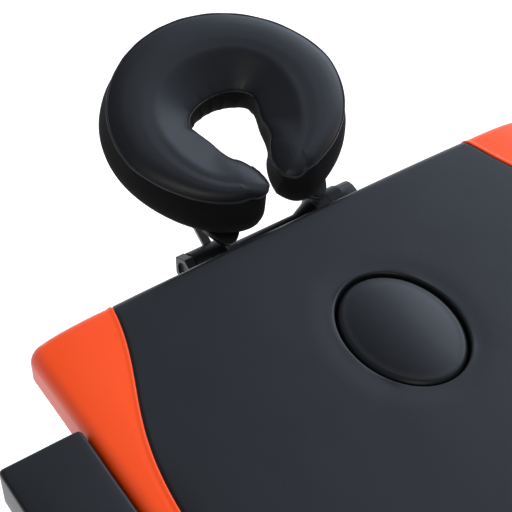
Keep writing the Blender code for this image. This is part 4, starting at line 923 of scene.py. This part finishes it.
# from the middle line (0) to an edge (1) of the top, and heights there in mm over the welt line
even = (0, 0.25, 0.5, 0.7, 0.85, 0.94, 0.98, 1)
outer_fall = (even, (9.0, 9.8, 9.4, 8.0, 5.6, 3.2, 1.8, 0.8))
lobe_fall = (even, (9.0, 8.9, 8.2, 6.8, 4.8, 2.8, 1.6, 0.6))
inner_fall = ((0, 0.13, 0.2, 0.5, 0.7, 0.85, 0.94, 0.98, 1),
              (9.0, 8.9, 8.2, 3.0, -0.5, -3.2, -5.2, -7.0, -9.2))
far_fall = ((0, 0.06, 0.2, 0.5, 0.7, 0.85, 0.94, 0.98, 1),
            (7.4, 7.0, 4.4, -2.2, -6.8, -10.6, -13.2, -15.0, -17.4))
gather_count, gather_height, gather_least = 15, 0.0017, 0.25
gather_drift, gather_beat, gather_phase = 1.7, 3.1, 0.6
tuck_share, tuck_from, tuck_blend, gap_bulge = 0.35, 0.72, 0.2, 0.3


def swell(turn, middle, spread, depth):
    """A soft bulge, or a dent where depth is below 0, round an angle from the far end."""
    return depth * exp(-((degrees(turn) - middle) / spread) ** 2)


def far_share(turn):
    """1 at the far end of the horseshoe, 0 along its arms."""
    return smooth((far_from - abs(turn)) / far_blend)


def cushion_ring(share):
    """A ring of the cushion: place without lean, outward way, lean of the band, side and turn."""
    ring = []
    for flat, way, side, turn in horseshoe(share, arc_end, (0, 0), lobe_blunt, gap_blunt):
        lean = (side_lean + lobe_lean * max(-way.y, 0)) * smooth((side - lean_from) / lean_blend)
        if side > 0:
            fuller = (side_full * way.x ** 2 - far_flat * max(way.y, 0) ** 2
                      + sum(swell(turn, *dent) for dent in pressed))
        else:
            under = undercut * (1 - far_share(turn))
            fuller = (gap_full * way.x ** 2 + swell(abs(turn), *gap_swell)
                      + swell(abs(turn), *lobe_dent) - under)
            lean += (far_lean * far_share(turn) - under) * abs(side)
        fuller *= abs(side) * share
        place = askew @ (flat + way * fuller) + shifted
        place.x -= far_drift * (max(place.y, 0) / far_reach) ** drift_power
        ring.append((place, askew @ way, lean, side, turn))
    return ring


def fall(profile, share):
    """Height in metres on a profile."""
    return float(np.interp(share, *profile)) / 1000


def top_level(share, side, turn):
    """Height of the cushion's top, from its middle line to an edge."""
    far = far_share(turn)
    if side > 0:
        edge = fall(outer_fall, share) - far_dip * far * (1 - share)
    else:
        near = (1 - lobe_yield * share) * smooth((abs(turn) - lobe_from) / lobe_blend)
        edge = (fall(inner_fall, share) * (1 - far - near) + fall(far_fall, share) * far
                + fall(lobe_fall, share) * near)
    sided = smooth(abs(side))
    return fall(lobe_fall, share) * (1 - sided) + edge * sided


def gather(turn):
    """Height of the tucks that the vinyl makes round the face gap."""
    tuck = sin(gather_count * turn + gather_drift * sin(gather_beat * turn) + gather_phase)
    return gather_height * max(tuck, 0) ** 2 * (gather_least + (1 - gather_least) * far_share(turn))


# the band from its foot to the welt: part of its height, part of the lean, and bulge in mm
band = ((0.0, 0, -4.0), (0.01, 0, -2.4), (0.08, 0, 0.4), (0.2, 0, 2.2), (0.36, 0, 2.5),
        (0.55, 0.12, 1.4), (0.75, 0.45, 0.4), (0.9, 0.8, 0), (0.97, 0.95, -0.4))
points = []
ring = cushion_ring(1.0)
count = len(ring)
for height, leaned, bulge in band:
    for flat, way, lean, side, turn in ring:
        top = top_level(1.0, side, turn)
        tuck = gather(turn) * sin(pi * height) if side < gather_side else 0
        round_out = bulge / 1000 * (1 if side > lean_from or bulge < 0 else gap_bulge)
        level = -cushion_depth + (top + cushion_depth) * height
        points.append(in_cradle(flat + way * (round_out + tuck - lean * leaned), level))
band_faces = (len(band) - 1) * count
top_shares = (0.985, 1.0, 0.997, 0.985, 0.97, 0.955, 0.94, 0.91, 0.87, 0.82, 0.76, 0.69, 0.61, 0.52,
              0.43, 0.34, 0.27, 0.21, 0.15, 0.09, 0.03, 0.0)
for share in top_shares:
    tucked = tuck_share * smooth((share - tuck_from) / tuck_blend)
    for flat, way, lean, side, turn in cushion_ring(share):
        tuck = tucked * gather(turn) if side < gather_side else 0
        points.append(in_cradle(flat - way * lean * share, top_level(share, side, turn) - tuck))
faces = ring_faces(len(band) + len(top_shares), count)
faces.append(tuple(range(count)))
cushion = new_piece("headrest_cushion_cover", points, faces, black_vinyl, sharp=70)
cushion.data.materials.append(loop_cloth)
for face in cushion.data.polygons:
    face.material_index = int(face.index < band_faces or len(face.vertices) > 4)
ride_as(cushion, "headrest_cushion", "vinyl_black", "headrest_cushion")

# the welt: a vinyl cord sewn between the top panel and the band, round the outside and both lobes
welt_radius, welt_sides, welt_stitch, welt_ripple, welt_sunk = 0.0015, 8, 0.007, 0.10, 0.0004
outer_ring = ring[1 - lobe_steps:] + ring[:arc_steps + lobe_steps]
welt_line = [spot for spot in outer_ring if spot[3] > welt_end]
points, run, before = [], 0.0, welt_line[0][0]
for flat, way, lean, side, turn in welt_line:
    run, before = run + (flat - before).length, flat
    radius = welt_radius * (1 + welt_ripple * sin(2 * pi * run / welt_stitch))
    level = top_level(1.0, side, turn) - welt_sunk
    for bend in around(welt_sides):
        place = flat + way * (radius * cos(bend) - lean)
        points.append(in_cradle(place, level + radius * sin(bend)))
faces = closed_rings(len(welt_line), welt_sides)
welt = new_piece("headrest_cushion_welt", points, faces, black_vinyl, sharp=70)
ride_as(welt, "headrest_cushion", "vinyl_black")


# Latch, keeper and handle: a pressed steel draw latch joins the folded halves at their ends.
# A webbing handle on the right side rail carries the folded table.
# Woven nylon webbing: rows of close black yarns with a dull, slightly hairy surface
webbing, tree = new_finish("woven_nylon_webbing")
yarn = 0.0016
weft, warp = (add(tree, "TexWave", {"Vector": object_place(tree), "Scale": pi / (10 * yarn)},
                  bands_direction=way).outputs["Fac"] for way in ("Y", "Z"))
weave = calc(tree, "MULTIPLY", weft, warp)
close_finish(tree, Base_Color=blend(tree, weave, "#0c0c0d", "#2a2a2c"), Roughness=0.85,
             Normal=relief(tree, weave, 0.6, 0.0005))
for kind, name in (("base", "plate"), ("lever", "tongue"), ("keeper", "hook")):
    eased_copy(f"latch_{kind}", f"latch_{name}", zinc, "steel", ease=0.0004)
eased_copy("carry_handle", "carry_strap", webbing, "webbing")
low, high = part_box("carry_handle")
strap_thickness, strap_foot, strap_gap = 0.004, 0.030, 0.0002
strap_screw = (0.006, 0.0024)
spots = [(low.x + strap_thickness + strap_gap, y, (low.z + high.z) / 2)
         for y in (low.y + strap_foot / 2, high.y - strap_foot / 2)]
screw_heads("carry_strap_screws", spots, (1, 0, 0), *strap_screw, "foot_section")
